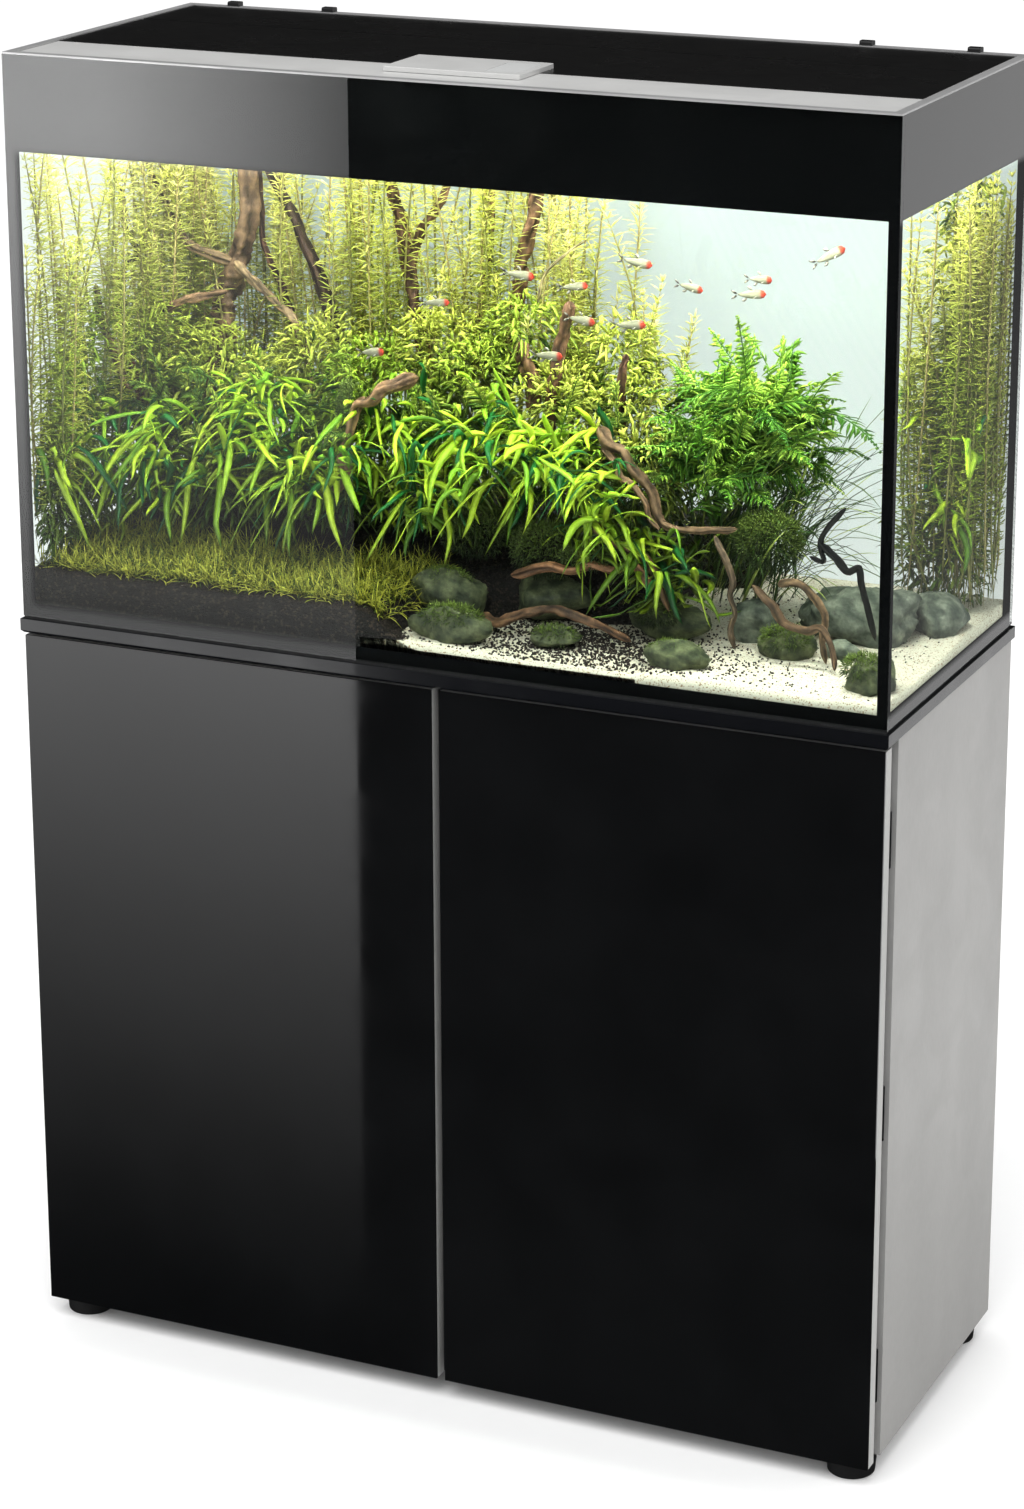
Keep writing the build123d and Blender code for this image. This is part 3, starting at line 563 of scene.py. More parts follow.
class StageSettings(bpy.types.PropertyGroup):
    """Floor and light."""

    floor: colour_setting("Floor", "Colour of the floor", (1.0, 1.0, 1.0))
    tank_light: power_setting("Tank Light", "Power of the light under the bar", 9.0)
    key_light: power_setting("Key Light", "Power of the large overhead light", 90.0)


SETTINGS = {
    "aquarium_cabinet": CabinetSettings,
    "aquarium_ground": GroundSettings,
    "aquarium_plants": PlantSettings,
    "aquarium_fish": FishSettings,
    "aquarium_stage": StageSettings,
}


# ---------------------------------------------------------------- cabinet, tank and cover finishes


EVEN = (1, 1, 1)


class AQUARIUM_OT_cabinet_finish(bpy.types.Operator):
    """Gives the stand's panels, doors, hinges, latches and feet their finishes"""

    bl_idname = "aquarium.cabinet_finish"
    bl_label = "Finish the Stand"

    def execute(self, context):
        look = context.scene.aquarium_cabinet
        dress_boards(
            ("side_panel_left side_panel_right",
             "Satin Side Laminate", look.side, 0.34, 0.44, 0.05, 260.0, (1, 1, 0.35), 0.08, {}),
            ("base_panel back_panel centre_divider rear_top_rail shelf_right frame_stile_left frame_stile_right"
             " frame_stile_centre frame_rail_top frame_rail_bottom",
             "Black Carcass Laminate", screen(30, 31, 33), 0.45, 0.6, 0.25, 420.0, EVEN, 0.12, {}),
            ("top_board", "Bluish Black Top Board", screen(13, 14, 17), 0.1, 0.18, 0.15, 380.0, (0.3, 1, 1), 0.05,
             {"coat": 0.5, "dust": 0.01}),
            ("door_front_left door_front_right", "Gloss Black Door Sheet", look.gloss, 0.02, 0.05, 0.2, 6.0, EVEN,
             0.012, {"coat": 0.35, "depth": 0.0004}),
            ("door_board_left door_board_right",
             "Light Door Board", look.edge, 0.45, 0.6, 0.07, 700.0, (1, 1, 0.1), 0.2, {}),
            ("hinge_leaves_fixed hinge_leaves_left hinge_leaves_right hinge_pins lid_hinge_pin",
             "Blackened Hinge Steel", (0.12, 0.12, 0.125), 0.24, 0.4, 0.15, 900.0, (1, 1, 8), 0.1, {"metallic": 1.0}),
            ("latch_bodies shelf_brackets",
             "Grey Latch Plastic", screen(120, 121, 122), 0.4, 0.55, 0.08, 900.0, EVEN, 0.2, {}),
            ("latch_plunger_left latch_plunger_right",
             "White Plunger Plastic", screen(206, 206, 202), 0.3, 0.45, 0.05, 900.0, EVEN, 0.1, {}),
            ("door_bumpers_left door_bumpers_right",
             "Clear Bumper Rubber", screen(170, 172, 172), 0.25, 0.4, 0.05, 900.0, EVEN, 0.1, {}),
            ("feet", "Black Foot Plastic", screen(26, 26, 27), 0.5, 0.6, 0.08, 800.0, EVEN, 0.3, {}),
        )
        return {"FINISHED"}


class AQUARIUM_OT_tank_finish(bpy.types.Operator):
    """Gives the glass, printed borders, seams, foam mat and background film their finishes"""

    bl_idname = "aquarium.tank_finish"
    bl_label = "Finish the Tank"

    def execute(self, context):
        glass = clear_finish("Float Glass", (0.955, 0.985, 0.972), 1.5, 0.88)
        dress(glass, "front_glass", "back_glass", "side_glass_left", "side_glass_right", "bottom_glass",
              "glass_braces")
        dress_boards(
            ("front_border_print side_border_prints",
             "Black Printed Border", screen(13, 14, 15), 0.12, 0.2, 0.2, 800.0, EVEN, 0.03, {}),
            ("silicone_seams", "Black Silicone", screen(22, 23, 24), 0.25, 0.4, 0.2, 500.0, EVEN, 0.2, {}),
        )
        foam = speckled_finish("Black Foam Mat", screen(26, 26, 27), screen(52, 52, 54), 0.12, 1200.0, 0.5, 0.0005)
        dress(foam, "foam_mat")
        dress(self.lit_film(), "background_film")
        return {"FINISHED"}

    def lit_film(self):
        """A pale film with a painted glow, though it is no lamp, and painted shade: cooler and darker at the top left
        than at the lower right.
        """
        material, tree, shader = new_finish("Pale Background Film")
        where = object_place(tree)
        parts = place(tree, "ShaderNodeSeparateXYZ", {0: where}).outputs
        (left, _, low), (right, _, high) = TANK_LOW.tolist(), TANK_HIGH.tolist()
        # Painted glow: the emission falls with height and rises to the right, a painted gradient of light and shade.
        fall = ranged(tree, parts["Z"], low, high, 1.0, 0.0)
        share = maths(tree, "MULTIPLY_ADD", fall, 0.55, 0.0)
        share = maths(tree, "MULTIPLY_ADD", ranged(tree, parts["X"], left, right), 0.45, share)
        share = maths(tree, "MULTIPLY_ADD", cloudy(tree, where, 2.2, 2.0), 0.12, share)
        glow = mix_tint(tree, share, (0.3, 0.375, 0.37), (0.76, 0.78, 0.76))
        tree.links.new(glow, shader.inputs["Emission Color"])
        shader.inputs["Emission Strength"].default_value = 1.0
        grain = effect(tree, fine_grain, {"Scale": 300.0})
        paint = mix_tint(tree, grain.outputs["Tone"], (0.18, 0.195, 0.195), (0.21, 0.225, 0.225))
        surface(tree, shader, paint, 0.5, 0.65)
        return material


class AQUARIUM_OT_cover_finish(bpy.types.Operator):
    """Gives the cover, light bar, lift plate, lamp tubes and clips their finishes"""

    bl_idname = "aquarium.cover_finish"
    bl_label = "Finish the Cover"

    def execute(self, context):
        look = context.scene.aquarium_cabinet
        dress_boards(
            ("cover_rails_side cover_rails_cross",
             "Anodised Rails", (0.42, 0.42, 0.42), 0.28, 0.4, 0.08, 900.0, (0.05, 1, 1), 0.15, {"metallic": 0.35}),
            ("light_bar lid_handle", "Matt Aluminium Bar", look.metal, 0.36, 0.46, 0.05, 1200.0, (0.03, 1, 1), 0.12,
             {"metallic": 0.25, "dust": 0.08}),
            ("handle_pad", "Soft Lift Pad", screen(176, 177, 176), 0.55, 0.7, 0.05, 1500.0, EVEN, 0.3, {}),
            ("lid_flap rear_cover",
             "Black Cover Sheet", screen(15, 15, 16), 0.25, 0.38, 0.2, 900.0, EVEN, 0.2, {"dust": 0.03}),
            ("tube_sockets", "Dark Socket Plastic", screen(52, 52, 54), 0.35, 0.5, 0.05, 900.0, EVEN, 0.1, {}),
            ("rear_clips", "Black Clip Plastic", screen(34, 34, 35), 0.35, 0.5, 0.12, 900.0, EVEN, 0.25, {}),
        )
        dress(self.lit_tube(), "led_tubes")
        return {"FINISHED"}

    def lit_tube(self):
        """A frosted lamp tube: warm white light with slightly darker ends."""
        material, tree, shader = new_finish("Frosted Lamp Tube")
        parts = place(tree, "ShaderNodeSeparateXYZ", {0: object_place(tree)})
        out = maths(tree, "ABSOLUTE", parts.outputs["X"])
        reach = float(BOXES["led_tubes"][1][0])
        glow = mix_tint(tree, ranged(tree, out, reach - 0.05, reach), (1.0, 0.97, 0.9), (0.45, 0.42, 0.36))
        tree.links.new(glow, shader.inputs["Emission Color"])
        shader.inputs["Emission Strength"].default_value = 3.0
        surface(tree, shader, glow, 0.3, 0.45)
        return material


# ---------------------------------------------------------------- ground


def soil_share(x, y):
    """How much of the ground at x, y is soil: 1 left of a wandering edge, 0 right of it."""
    points = level_points(x, y)
    behind = ease(y, -0.11, -0.02)
    edge = -0.035 + 0.205 * behind + 0.014 * ripple(points, 0.11, 4) + 0.15 * ease(y, 0.1, 0.19)
    return 1 - ease(x, edge - 0.045, edge + 0.012)


def soil_height(x, y, front):
    """Height of the soil: a slope up to the back with low mounds, falling away to the sand at its edge."""
    points = level_points(x, y)
    slope = front + (BOXES["soil_bed"][1][2] - front) * ease(y, -0.19, 0.14)
    level = slope + 0.003 * ripple(points, 0.12, 6) + 0.0012 * ripple(points, 0.025, 7)
    share = soil_share(x, y)
    return np.minimum(0.862 + (level - 0.862) * share, BOXES["soil_bed"][1][2])


def sand_height(x, y):
    """Height of the sand: nearly level, a little higher at the back."""
    points = level_points(x, y)
    level = 0.8685 + 0.005 * ease(y, -0.1, 0.12) + 0.0022 * ripple(points, 0.16, 8) + 0.0006 * ripple(points, 0.02, 9)
    return np.minimum(level, BOXES["sand_bed"][1][2])


class AQUARIUM_OT_ground(bpy.types.Operator):
    """Lays the soil slope and the sand, with granules strewn over both"""

    bl_idname = "aquarium.ground"
    bl_label = "Lay the Ground"

    def execute(self, context):
        look = context.scene.aquarium_ground
        y = np.linspace(TANK_LOW[1], -TANK_LOW[1], 84)
        x = np.linspace(TANK_LOW[0], 0.225, 150)
        soil = speckled_finish(
            "Planting Soil", tuple(look.soil), screen(56, 46, 38), 0.14, 420.0, 0.9, 0.0016)
        block = height_block(x, y, soil_height(*np.meshgrid(x, y, indexing="ij"), look.soil_front), SOIL_BOTTOM)
        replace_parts(put_mesh("soil_slope", [block], soil), "soil_bed")
        x = np.linspace(-0.09, -TANK_LOW[0], 145)
        sand = speckled_finish(
            "Cream Sand", tuple(look.sand), screen(150, 120, 84), 0.1, 900.0, 0.5, 0.0008)
        block = height_block(x, y, sand_height(*np.meshgrid(x, y, indexing="ij")), SAND_BOTTOM)
        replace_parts(put_mesh("sand_floor", [block], sand), "sand_bed")
        self.strew(look)
        return {"FINISHED"}

    def strew(self, look):
        """Dark granules on the sand, thickest near the soil edge, and smaller grains on the soil."""
        rng = np.random.default_rng(21)
        many = look.granules
        few = many // 4
        x = np.concatenate([rng.uniform(-0.05, 0.48, few), rng.normal(0.14, 0.085, many - few)])
        y = np.concatenate([rng.uniform(-0.194, 0.12, few), rng.normal(-0.125, 0.04, many - few)])
        x, y = np.clip(x, -0.07, 0.488), np.where(y < -0.193, -0.386 - y, y)
        y = np.clip(y, -0.193, 0.19)
        z = np.maximum(sand_height(x, y), soil_height(x, y, look.soil_front)) + 0.0005
        size = rng.uniform(0.001, 0.0023, many) * (1 - 0.35 * ease(x, 0.2, 0.45))
        part, tint = self.grains(x, y, z, size, screen(40, 33, 29), rng)
        many = 9000
        x = rng.uniform(TANK_LOW[0] + 0.003, 0.15, many)
        y = np.concatenate([rng.uniform(-0.1955, -0.17, many // 2), rng.uniform(-0.19, 0.0, many - many // 2)])
        z = np.maximum(sand_height(x, y), soil_height(x, y, look.soil_front)) + 0.0002
        keep = soil_share(x, y) > 0.15
        x, y, z = x[keep], y[keep], z[keep]
        more, tint_more = self.grains(x, y, z, rng.uniform(0.0007, 0.0016, len(x)), screen(36, 30, 26), rng)
        finish = growing_finish("Baked Soil Granules", 0.7, 0.85, 900.0, 0.3)
        put_mesh("soil_granules", [part, more], finish, tints=[tint, tint_more])

    def grains(self, x, y, z, size, colour, rng):
        """Small eight-sided grains, each with its own size and shade."""
        centre = np.stack([x, y, z], -1)
        axis = unit(rng.normal(size=centre.shape)) * size[:, None]
        path = centre[:, None] + axis[:, None] * np.array([-1.0, 0.0, 1.0])[None, :, None]
        side = unit(rng.normal(size=centre.shape))[:, None]
        shade = np.array(colour)[None] * rng.uniform(0.5, 1.6, (len(x), 1))
        return spindles(path, side, size[:, None] * 0.9, size[:, None] * 0.75, 4, tint=shade)


# ---------------------------------------------------------------- stones and wood


STONES = (
    # centre x, y, z; half length, depth, height (mm); seed
    (388, 12, 890, 72, 46, 46, 3),
    (452, 66, 882, 34, 38, 27, 5),
    (462, -154, 879, 24, 32, 27, 8),
    (345, -74, 879, 30, 22, 20, 9),
    (258, -158, 876, 39, 22, 20, 12),
    (112, -140, 877, 27, 18, 14, 14),
    (2, -168, 884, 46, 20, 24, 17),
    (208, -62, 884, 44, 26, 27, 19),
    (404, -66, 878, 22, 16, 14, 23),
    (300, -30, 884, 34, 26, 26, 27),
    (-30, -110, 898, 44, 28, 32, 31),
    (70, -66, 896, 46, 26, 34, 37),
)
MOSSY_STONES = (2, 3, 4, 5, 6, 7, 10, 11)

WOOD_TONE = (0.92, 1.02, 1.06)
BRANCHES = (
    # tint, start radius, end radius, seed, route (mm)
    # trunk left thick
    ((112, 84, 62), 15, 9.5, 41,
     ((-395, 40, 922), (-388, 45, 1000), (-384, 55, 1128), (-386, 60, 1155), (-366, 60, 1203), (-352, 60, 1253),
      (-348, 60, 1362))),
    # trunk left arm
    ((150, 118, 88), 5, 2.5, 42,
     ((-366, 56, 1200), (-416, 50, 1216), (-438, 50, 1240), (-455, 50, 1270), (-474, 50, 1310), (-480, 50, 1340))),
    # trunk left spur
    ((158, 126, 94), 5, 3, 43,
     ((-366, 52, 1204), (-339, 44, 1186), (-311, 40, 1168), (-282, 40, 1140), (-262, 30, 1090), (-250, 20, 1020))),
    # trunk dark
    ((62, 44, 36), 8, 6, 44,
     ((-236, 58, 930), (-238, 66, 1010), (-241, 70, 1097), (-260, 70, 1168), (-296, 70, 1246), (-327, 70, 1303),
      (-340, 70, 1362))),
    # stem dark thin
    ((80, 52, 40), 4, 3, 45,
     ((-300, 80, 1100), (-317, 80, 1162), (-331, 80, 1191), (-344, 80, 1232), (-346, 80, 1362))),
    # root twisted
    ((26, 22, 20), 4.5, 3, 46,
     ((-470, 0, 1010), (-478, 0, 1123), (-480, 0, 1184), (-472, 0, 1202), (-459, 0, 1211), (-465, 0, 1228),
      (-476, 0, 1246), (-480, 2, 1290))),
    # root brown
    ((96, 62, 44), 5, 3, 47,
     ((-440, -24, 1020), (-460, -20, 1089), (-470, -20, 1112), (-474, -20, 1150), (-480, -20, 1191))),
    # root low left
    ((112, 84, 62), 4.5, 3.5, 48,
     ((-440, -60, 1070), (-462, -60, 1120), (-474, -60, 1150), (-480, -60, 1190))),
    # stub left
    ((140, 104, 76), 4.5, 3.5, 49, ((-360, 30, 1175), (-398, 20, 1166), (-419, 20, 1159), (-446, 20, 1142))),
    # trunk fork
    ((92, 64, 50), 7.5, 6, 50,
     ((-130, 60, 925), (-140, 76, 1060), (-147, 80, 1137), (-156, 80, 1171), (-163, 80, 1215), (-172, 80, 1255),
      (-184, 80, 1300), (-190, 80, 1362))),
    # trunk fork arm
    ((98, 70, 54), 5, 4, 51,
     ((-160, 80, 1205), (-148, 80, 1249), (-131, 80, 1273), (-117, 80, 1298), (-104, 80, 1362))),
    # trunk middle
    ((108, 76, 56), 8.5, 6.5, 52,
     ((-36, 60, 925), (-46, 84, 1060), (-43, 90, 1141), (-36, 90, 1190), (-28, 90, 1230), (-14, 90, 1298),
      (0, 90, 1362))),
    # stem middle thin
    ((120, 92, 60), 3.5, 2.5, 53,
     ((-90, 95, 1100), (-84, 100, 1180), (-72, 100, 1238), (-70, 100, 1362))),
    # stub middle
    ((104, 72, 52), 7, 6, 54, ((30, 20, 1040), (48, 0, 1110), (54, 0, 1150), (60, 0, 1180), (65, 0, 1206))),
    # knob middle
    ((128, 92, 66), 9, 8, 55, ((24, 0, 1080), (20, 0, 1118), (14, 0, 1140), (10, 0, 1158))),
    # stub right
    ((92, 62, 46), 4.5, 4, 56, ((124, 0, 1060), (134, -18, 1129), (140, -20, 1158))),
    # twig curved
    ((150, 130, 92), 1.8, 1.2, 57, ((10, 40, 1190), (24, 30, 1226), (51, 30, 1251), (72, 30, 1266))),
    # limb front
    ((134, 98, 70), 7, 4.5, 58,
     ((-72, -84, 1128), (-88, -104, 1124), (-104, -108, 1116), (-116, -112, 1104), (-130, -112, 1098),
      (-138, -112, 1080), (-143, -112, 1060), (-150, -110, 1044), (-149, -110, 1020), (-158, -104, 1006),
      (-176, -96, 1000))),
    # limb right
    ((112, 84, 60), 6.5, 3, 59,
     ((126, -60, 1088), (148, -88, 1078), (164, -90, 1072), (176, -92, 1056), (190, -92, 1044), (200, -92, 1030),
      (206, -92, 1008), (216, -92, 998), (240, -90, 996), (264, -88, 999), (292, -84, 1001))),
    # limb right strand
    ((134, 100, 72), 4, 2.2, 68,
     ((140, -88, 1074), (158, -96, 1062), (166, -98, 1046), (178, -98, 1040), (194, -96, 1022), (198, -96, 1006),
      (212, -98, 994))),
    # root reddish
    ((138, 92, 62), 5, 3.5, 60,
     ((40, -96, 925), (83, -108, 942), (114, -110, 942), (139, -110, 951), (162, -110, 948), (184, -108, 956),
      (206, -100, 930))),
    # root front
    ((110, 76, 52), 5.5, 3.5, 61,
     ((10, -112, 880), (42, -128, 884), (74, -130, 898), (104, -130, 905), (134, -130, 899), (162, -130, 892),
      (192, -128, 880))),
    # root mid
    ((118, 84, 58), 5, 4, 62,
     ((110, -84, 1000), (149, -98, 982), (172, -100, 971), (198, -100, 958), (220, -96, 905))),
    # twig black upper
    ((18, 16, 15), 3.2, 2.2, 63,
     ((402, -60, 1030), (380, -60, 1003), (374, -60, 986), (378, -60, 970), (362, -60, 974))),
    # twig black lower
    ((20, 18, 16), 4.2, 3, 64,
     ((372, -60, 990), (389, -60, 975), (403, -60, 962), (416, -60, 967), (420, -60, 948), (428, -60, 926),
      (436, -58, 890))),
    # root bush
    ((92, 72, 54), 3.6, 2.6, 65,
     ((270, -94, 994), (284, -100, 976), (290, -100, 962), (294, -100, 948), (290, -100, 934), (296, -100, 916),
      (292, -101, 898), (299, -102, 876))),
    # root curled
    ((118, 90, 64), 4.6, 3.2, 66,
     ((340, -90, 950), (361, -98, 956), (378, -100, 950), (390, -100, 935), (397, -100, 920), (393, -100, 896),
      (398, -100, 872))),
    # root looped
    ((98, 72, 52), 4.4, 2.8, 67,
     ((318, -104, 950), (340, -110, 931), (354, -110, 913), (378, -112, 909), (396, -114, 914), (412, -118, 892),
      (416, -124, 874))),
)


class AQUARIUM_OT_stones(bpy.types.Operator):
    """Sets the stones on the sand"""

    bl_idname = "aquarium.stones"
    bl_label = "Set the Stones"

    def execute(self, context):
        parts, tints = [], []
        for number, (x, y, z, a, b, c, seed) in enumerate(STONES):
            part = boulder((x, y, z), (a, b, c), seed)
            mottle = ripple(part[0], 0.02, seed + 3, 4)
            base, pale = screen(62, 70, 60), screen(122, 128, 112)
            if number in MOSSY_STONES:
                base, pale = screen(44, 52, 34), screen(98, 104, 72)
            tint = blend_tints(base, pale, np.clip(0.42 + 0.55 * mottle, 0, 1))
            parts.append(part)
            tints.append(tint)
        finish = growing_finish("Weathered Grey Stone", 0.6, 0.8, 240.0, 0.28, 0.8, 0.0015)
        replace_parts(put_mesh("stone_group", parts, finish, tints=tints), "stones")
        return {"FINISHED"}


class AQUARIUM_OT_driftwood(bpy.types.Operator):
    """Grows the driftwood trunks, arms, stubs and roots"""

    bl_idname = "aquarium.driftwood"
    bl_label = "Place the Driftwood"

    def execute(self, context):
        parts, tints = [], []
        for colour, start, end, seed, route in BRANCHES:
            part, tint = branch(route, start, end, np.array(screen(*colour)) * WOOD_TONE, seed)
            parts.append(part)
            tints.append(tint)
        finish = growing_finish("Driftwood Bark", 0.6, 0.8, 150.0, 0.4, 0.9, 0.0012)
        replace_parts(put_mesh("driftwood_branches", parts, finish, tints=tints), "driftwood")
        return {"FINISHED"}


# ---------------------------------------------------------------- plants


def leaf_paths(root, out, lift, length, droop, stations):
    """Leaf midlines: from the root along out and up, falling by droop times the square of the distance along it."""
    t = np.linspace(0, 1, stations)[None, :, None]
    run = length[:, None, None]
    start = unit(out * np.cos(lift)[:, None] + UP * np.sin(lift)[:, None])[:, None]
    return root[:, None] + start * t * run - UP * (droop[:, None, None] * run * t**2)


def leaf_profile(stations, widest=0.45, sharp=1.0):
    """Half width along a leaf: a sine bulge that peaks at the widest point and closes at both ends."""
    t = np.linspace(0, 1, stations)
    warped = np.where(t < widest, t / widest / 2, 0.5 + (t - widest) / (1 - widest) / 2)
    return np.sin(np.clip(warped, 0, 1) * math.pi) ** sharp


def needle_stems(rng, name, x, y, top, foot, first, needle, reach, finish):
    """Fine-leaved stems: whorls of needle leaves up a bowed stem, shorter and brighter towards the tip: paler young
    growth, plus painted light that rises with height towards the lamp.

    x, y and top place each stem; foot is its lowest point and first the height where its leaves begin. reach is how
    far left and right a stem may lean.
    """
    many = len(x)
    root = np.stack([x, y, np.full(many, foot)], -1)
    lean = rng.normal(0, 0.026, (many, 2))
    tip = np.stack([np.clip(x + lean[:, 0], *reach), np.clip(y + lean[:, 1], -0.186, 0.178), top], -1)
    bow = np.concatenate([rng.normal(0, 0.017, (many, 2)), np.zeros((many, 1))], -1)
    s = np.linspace(0, 1, 9)
    s = s[None, :, None]
    stem = root[:, None] + (tip - root)[:, None] * s + bow[:, None] * np.sin(s * math.pi)
    keep_inside(stem, reach, (FRONT_LIMIT, BACK_LIMIT))
    tone = rng.uniform(0, 1, many)
    stem_tint = blend_tints(screen(120, 124, 62), screen(176, 160, 104), tone)
    part, tint = spindles(stem, np.array([1.0, 0.0, 0.0]), 0.0012, 0.0012, 4, tint=stem_tint)
    gap = rng.uniform(0.0075, 0.0105, many)
    whorls = np.maximum(((top - first) / gap).astype(int), 4)
    owner = np.repeat(np.arange(many), whorls)
    step = np.arange(len(owner)) - np.repeat(np.cumsum(whorls) - whorls, whorls)
    z = top[owner] - step * gap[owner] - 0.002
    t = np.clip((z - foot) / (top[owner] - foot), 0, 1)
    centre = root[owner] + (tip - root)[owner] * t[:, None] + bow[owner] * np.sin(t * math.pi)[:, None]
    keep_inside(centre, reach, (FRONT_LIMIT, BACK_LIMIT))
    per = 6
    angle = (rng.uniform(0, 2 * math.pi, len(owner))[:, None] + np.arange(per) * 2 * math.pi / per).ravel()
    angle = angle + rng.normal(0, 0.2, len(angle))
    centre, owner = np.repeat(centre, per, 0), np.repeat(owner, per)
    depth = np.repeat(step, per)
    young = np.exp(-depth / 3.5)
    out = heading(angle)
    length = needle * rng.uniform(0.65, 1.2, len(angle)) * (1 - 0.5 * young)
    lift = 0.25 + 0.8 * young + rng.normal(0, 0.2, len(angle))
    path = leaf_paths(centre, out, lift, length, 0.15 + rng.normal(0, 0.1, len(angle)), 4)
    keep_inside(path, (TANK_LOW[0] + 0.002, TANK_HIGH[0] - 0.002), (TANK_LOW[1] + 0.004, TANK_HIGH[1] - 0.004))
    side = sideways(angle)[:, None]
    dark = blend_tints(screen(124, 148, 40), screen(186, 188, 72), tone[owner])
    bright = blend_tints(screen(234, 236, 104), screen(252, 246, 158), tone[owner])
    # Painted light: needles are brighter the higher they stand towards the lamp, on top of paler young growth at the
    # tip.
    lit = np.clip(0.42 + 0.8 * young + 0.75 * (centre[:, 2] - 1.22) / 0.17 + rng.normal(0, 0.16, len(angle)), 0, 1)
    width = np.array([0, 0.0014, 0.0011, 0])[None] * rng.uniform(0.7, 1.15, (len(angle), 1))
    leaves, leaf_tints = spindles(path, side, width, 0.0005, 3, tint=blend_tints(dark, bright, lit))
    return put_mesh(name, [part, leaves], finish, tints=[tint, leaf_tints])


class AQUARIUM_OT_stem_plants(bpy.types.Operator):
    """Plants the fine-leaved stems along the back, up the left pane and in the back right corner"""

    bl_idname = "aquarium.stem_plants"
    bl_label = "Plant the Stems"

    def execute(self, context):
        look = context.scene.aquarium_plants
        finish = growing_finish("Fine Stem Leaves", 0.45, 0.6, 140.0, 0.22, 0.2, 0.0003)
        low, high = BOXES["stem_plants"]
        edges = np.linspace(low[0] + 0.004, high[0], 4)
        for number, name in enumerate(("stems_left", "stems_centre", "stems_right")):
            rng = np.random.default_rng(70 + number)
            obj = self.back_row(rng, name, look.stems // 3, edges[number], edges[number + 1], look.needle, finish)
            if number == 0:
                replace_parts(obj, "stem_plants")
        rng = np.random.default_rng(75)
        many = 60
        y = rng.uniform(-0.184, 0.1, many)
        x = TANK_LOW[0] + 0.006 + rng.uniform(0.0, 0.2, many) * (y + 0.2)
        top = STEM_TOP - rng.choice([0.0, 0.02, 0.06, 0.14], many) - 0.02 * rng.random(many)
        needle_stems(rng, "stems_left_pane", x, y, top, 0.92, rng.uniform(0.95, 1.05, many), look.needle,
                     (TANK_LOW[0] + 0.003, -0.4), finish)
        low, high = BOXES["corner_plants"]
        many = 64
        x, y = rng.uniform(low[0] + 0.05, high[0], many), rng.uniform(low[1], high[1] - 0.006, many)
        top = high[2] - rng.choice([0.0, 0.04, 0.1, 0.2], many) - 0.02 * rng.random(many)
        obj = needle_stems(rng, "stems_right_corner", x, y, top, low[2], rng.uniform(0.9, 1.04, many),
                           look.needle * 0.85, (low[0] + 0.045, high[0]), finish)
        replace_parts(obj, "corner_plants")
        return {"FINISHED"}

    def back_row(self, rng, name, many, left, right, needle, finish):
        """Stems in loose bunches along the back, lower towards the open water at the right."""
        low, high = BOXES["stem_plants"]
        x = left + (right - left) * (np.arange(many) + rng.uniform(-1.6, 1.6, many)) / many
        x = np.clip(x, low[0], high[0])
        y = rng.uniform(low[1] - 0.01, high[1] - 0.012, many)
        share = (x - low[0]) / (high[0] - low[0])
        top = STEM_TOP - 0.03 * rng.random(many) ** 2 - 0.2 * ease(share, 0.74, 1.0) - 0.08 * ease(share, 0.9, 1.02)
        top = top - rng.choice([0, 0, 0.04, 0.12, 0.18], many) * ease(share, 0.0, 0.2)
        return needle_stems(rng, name, x, y, top, STEM_FOOT, 1.06, needle, (low[0], high[0] + 0.02), finish)


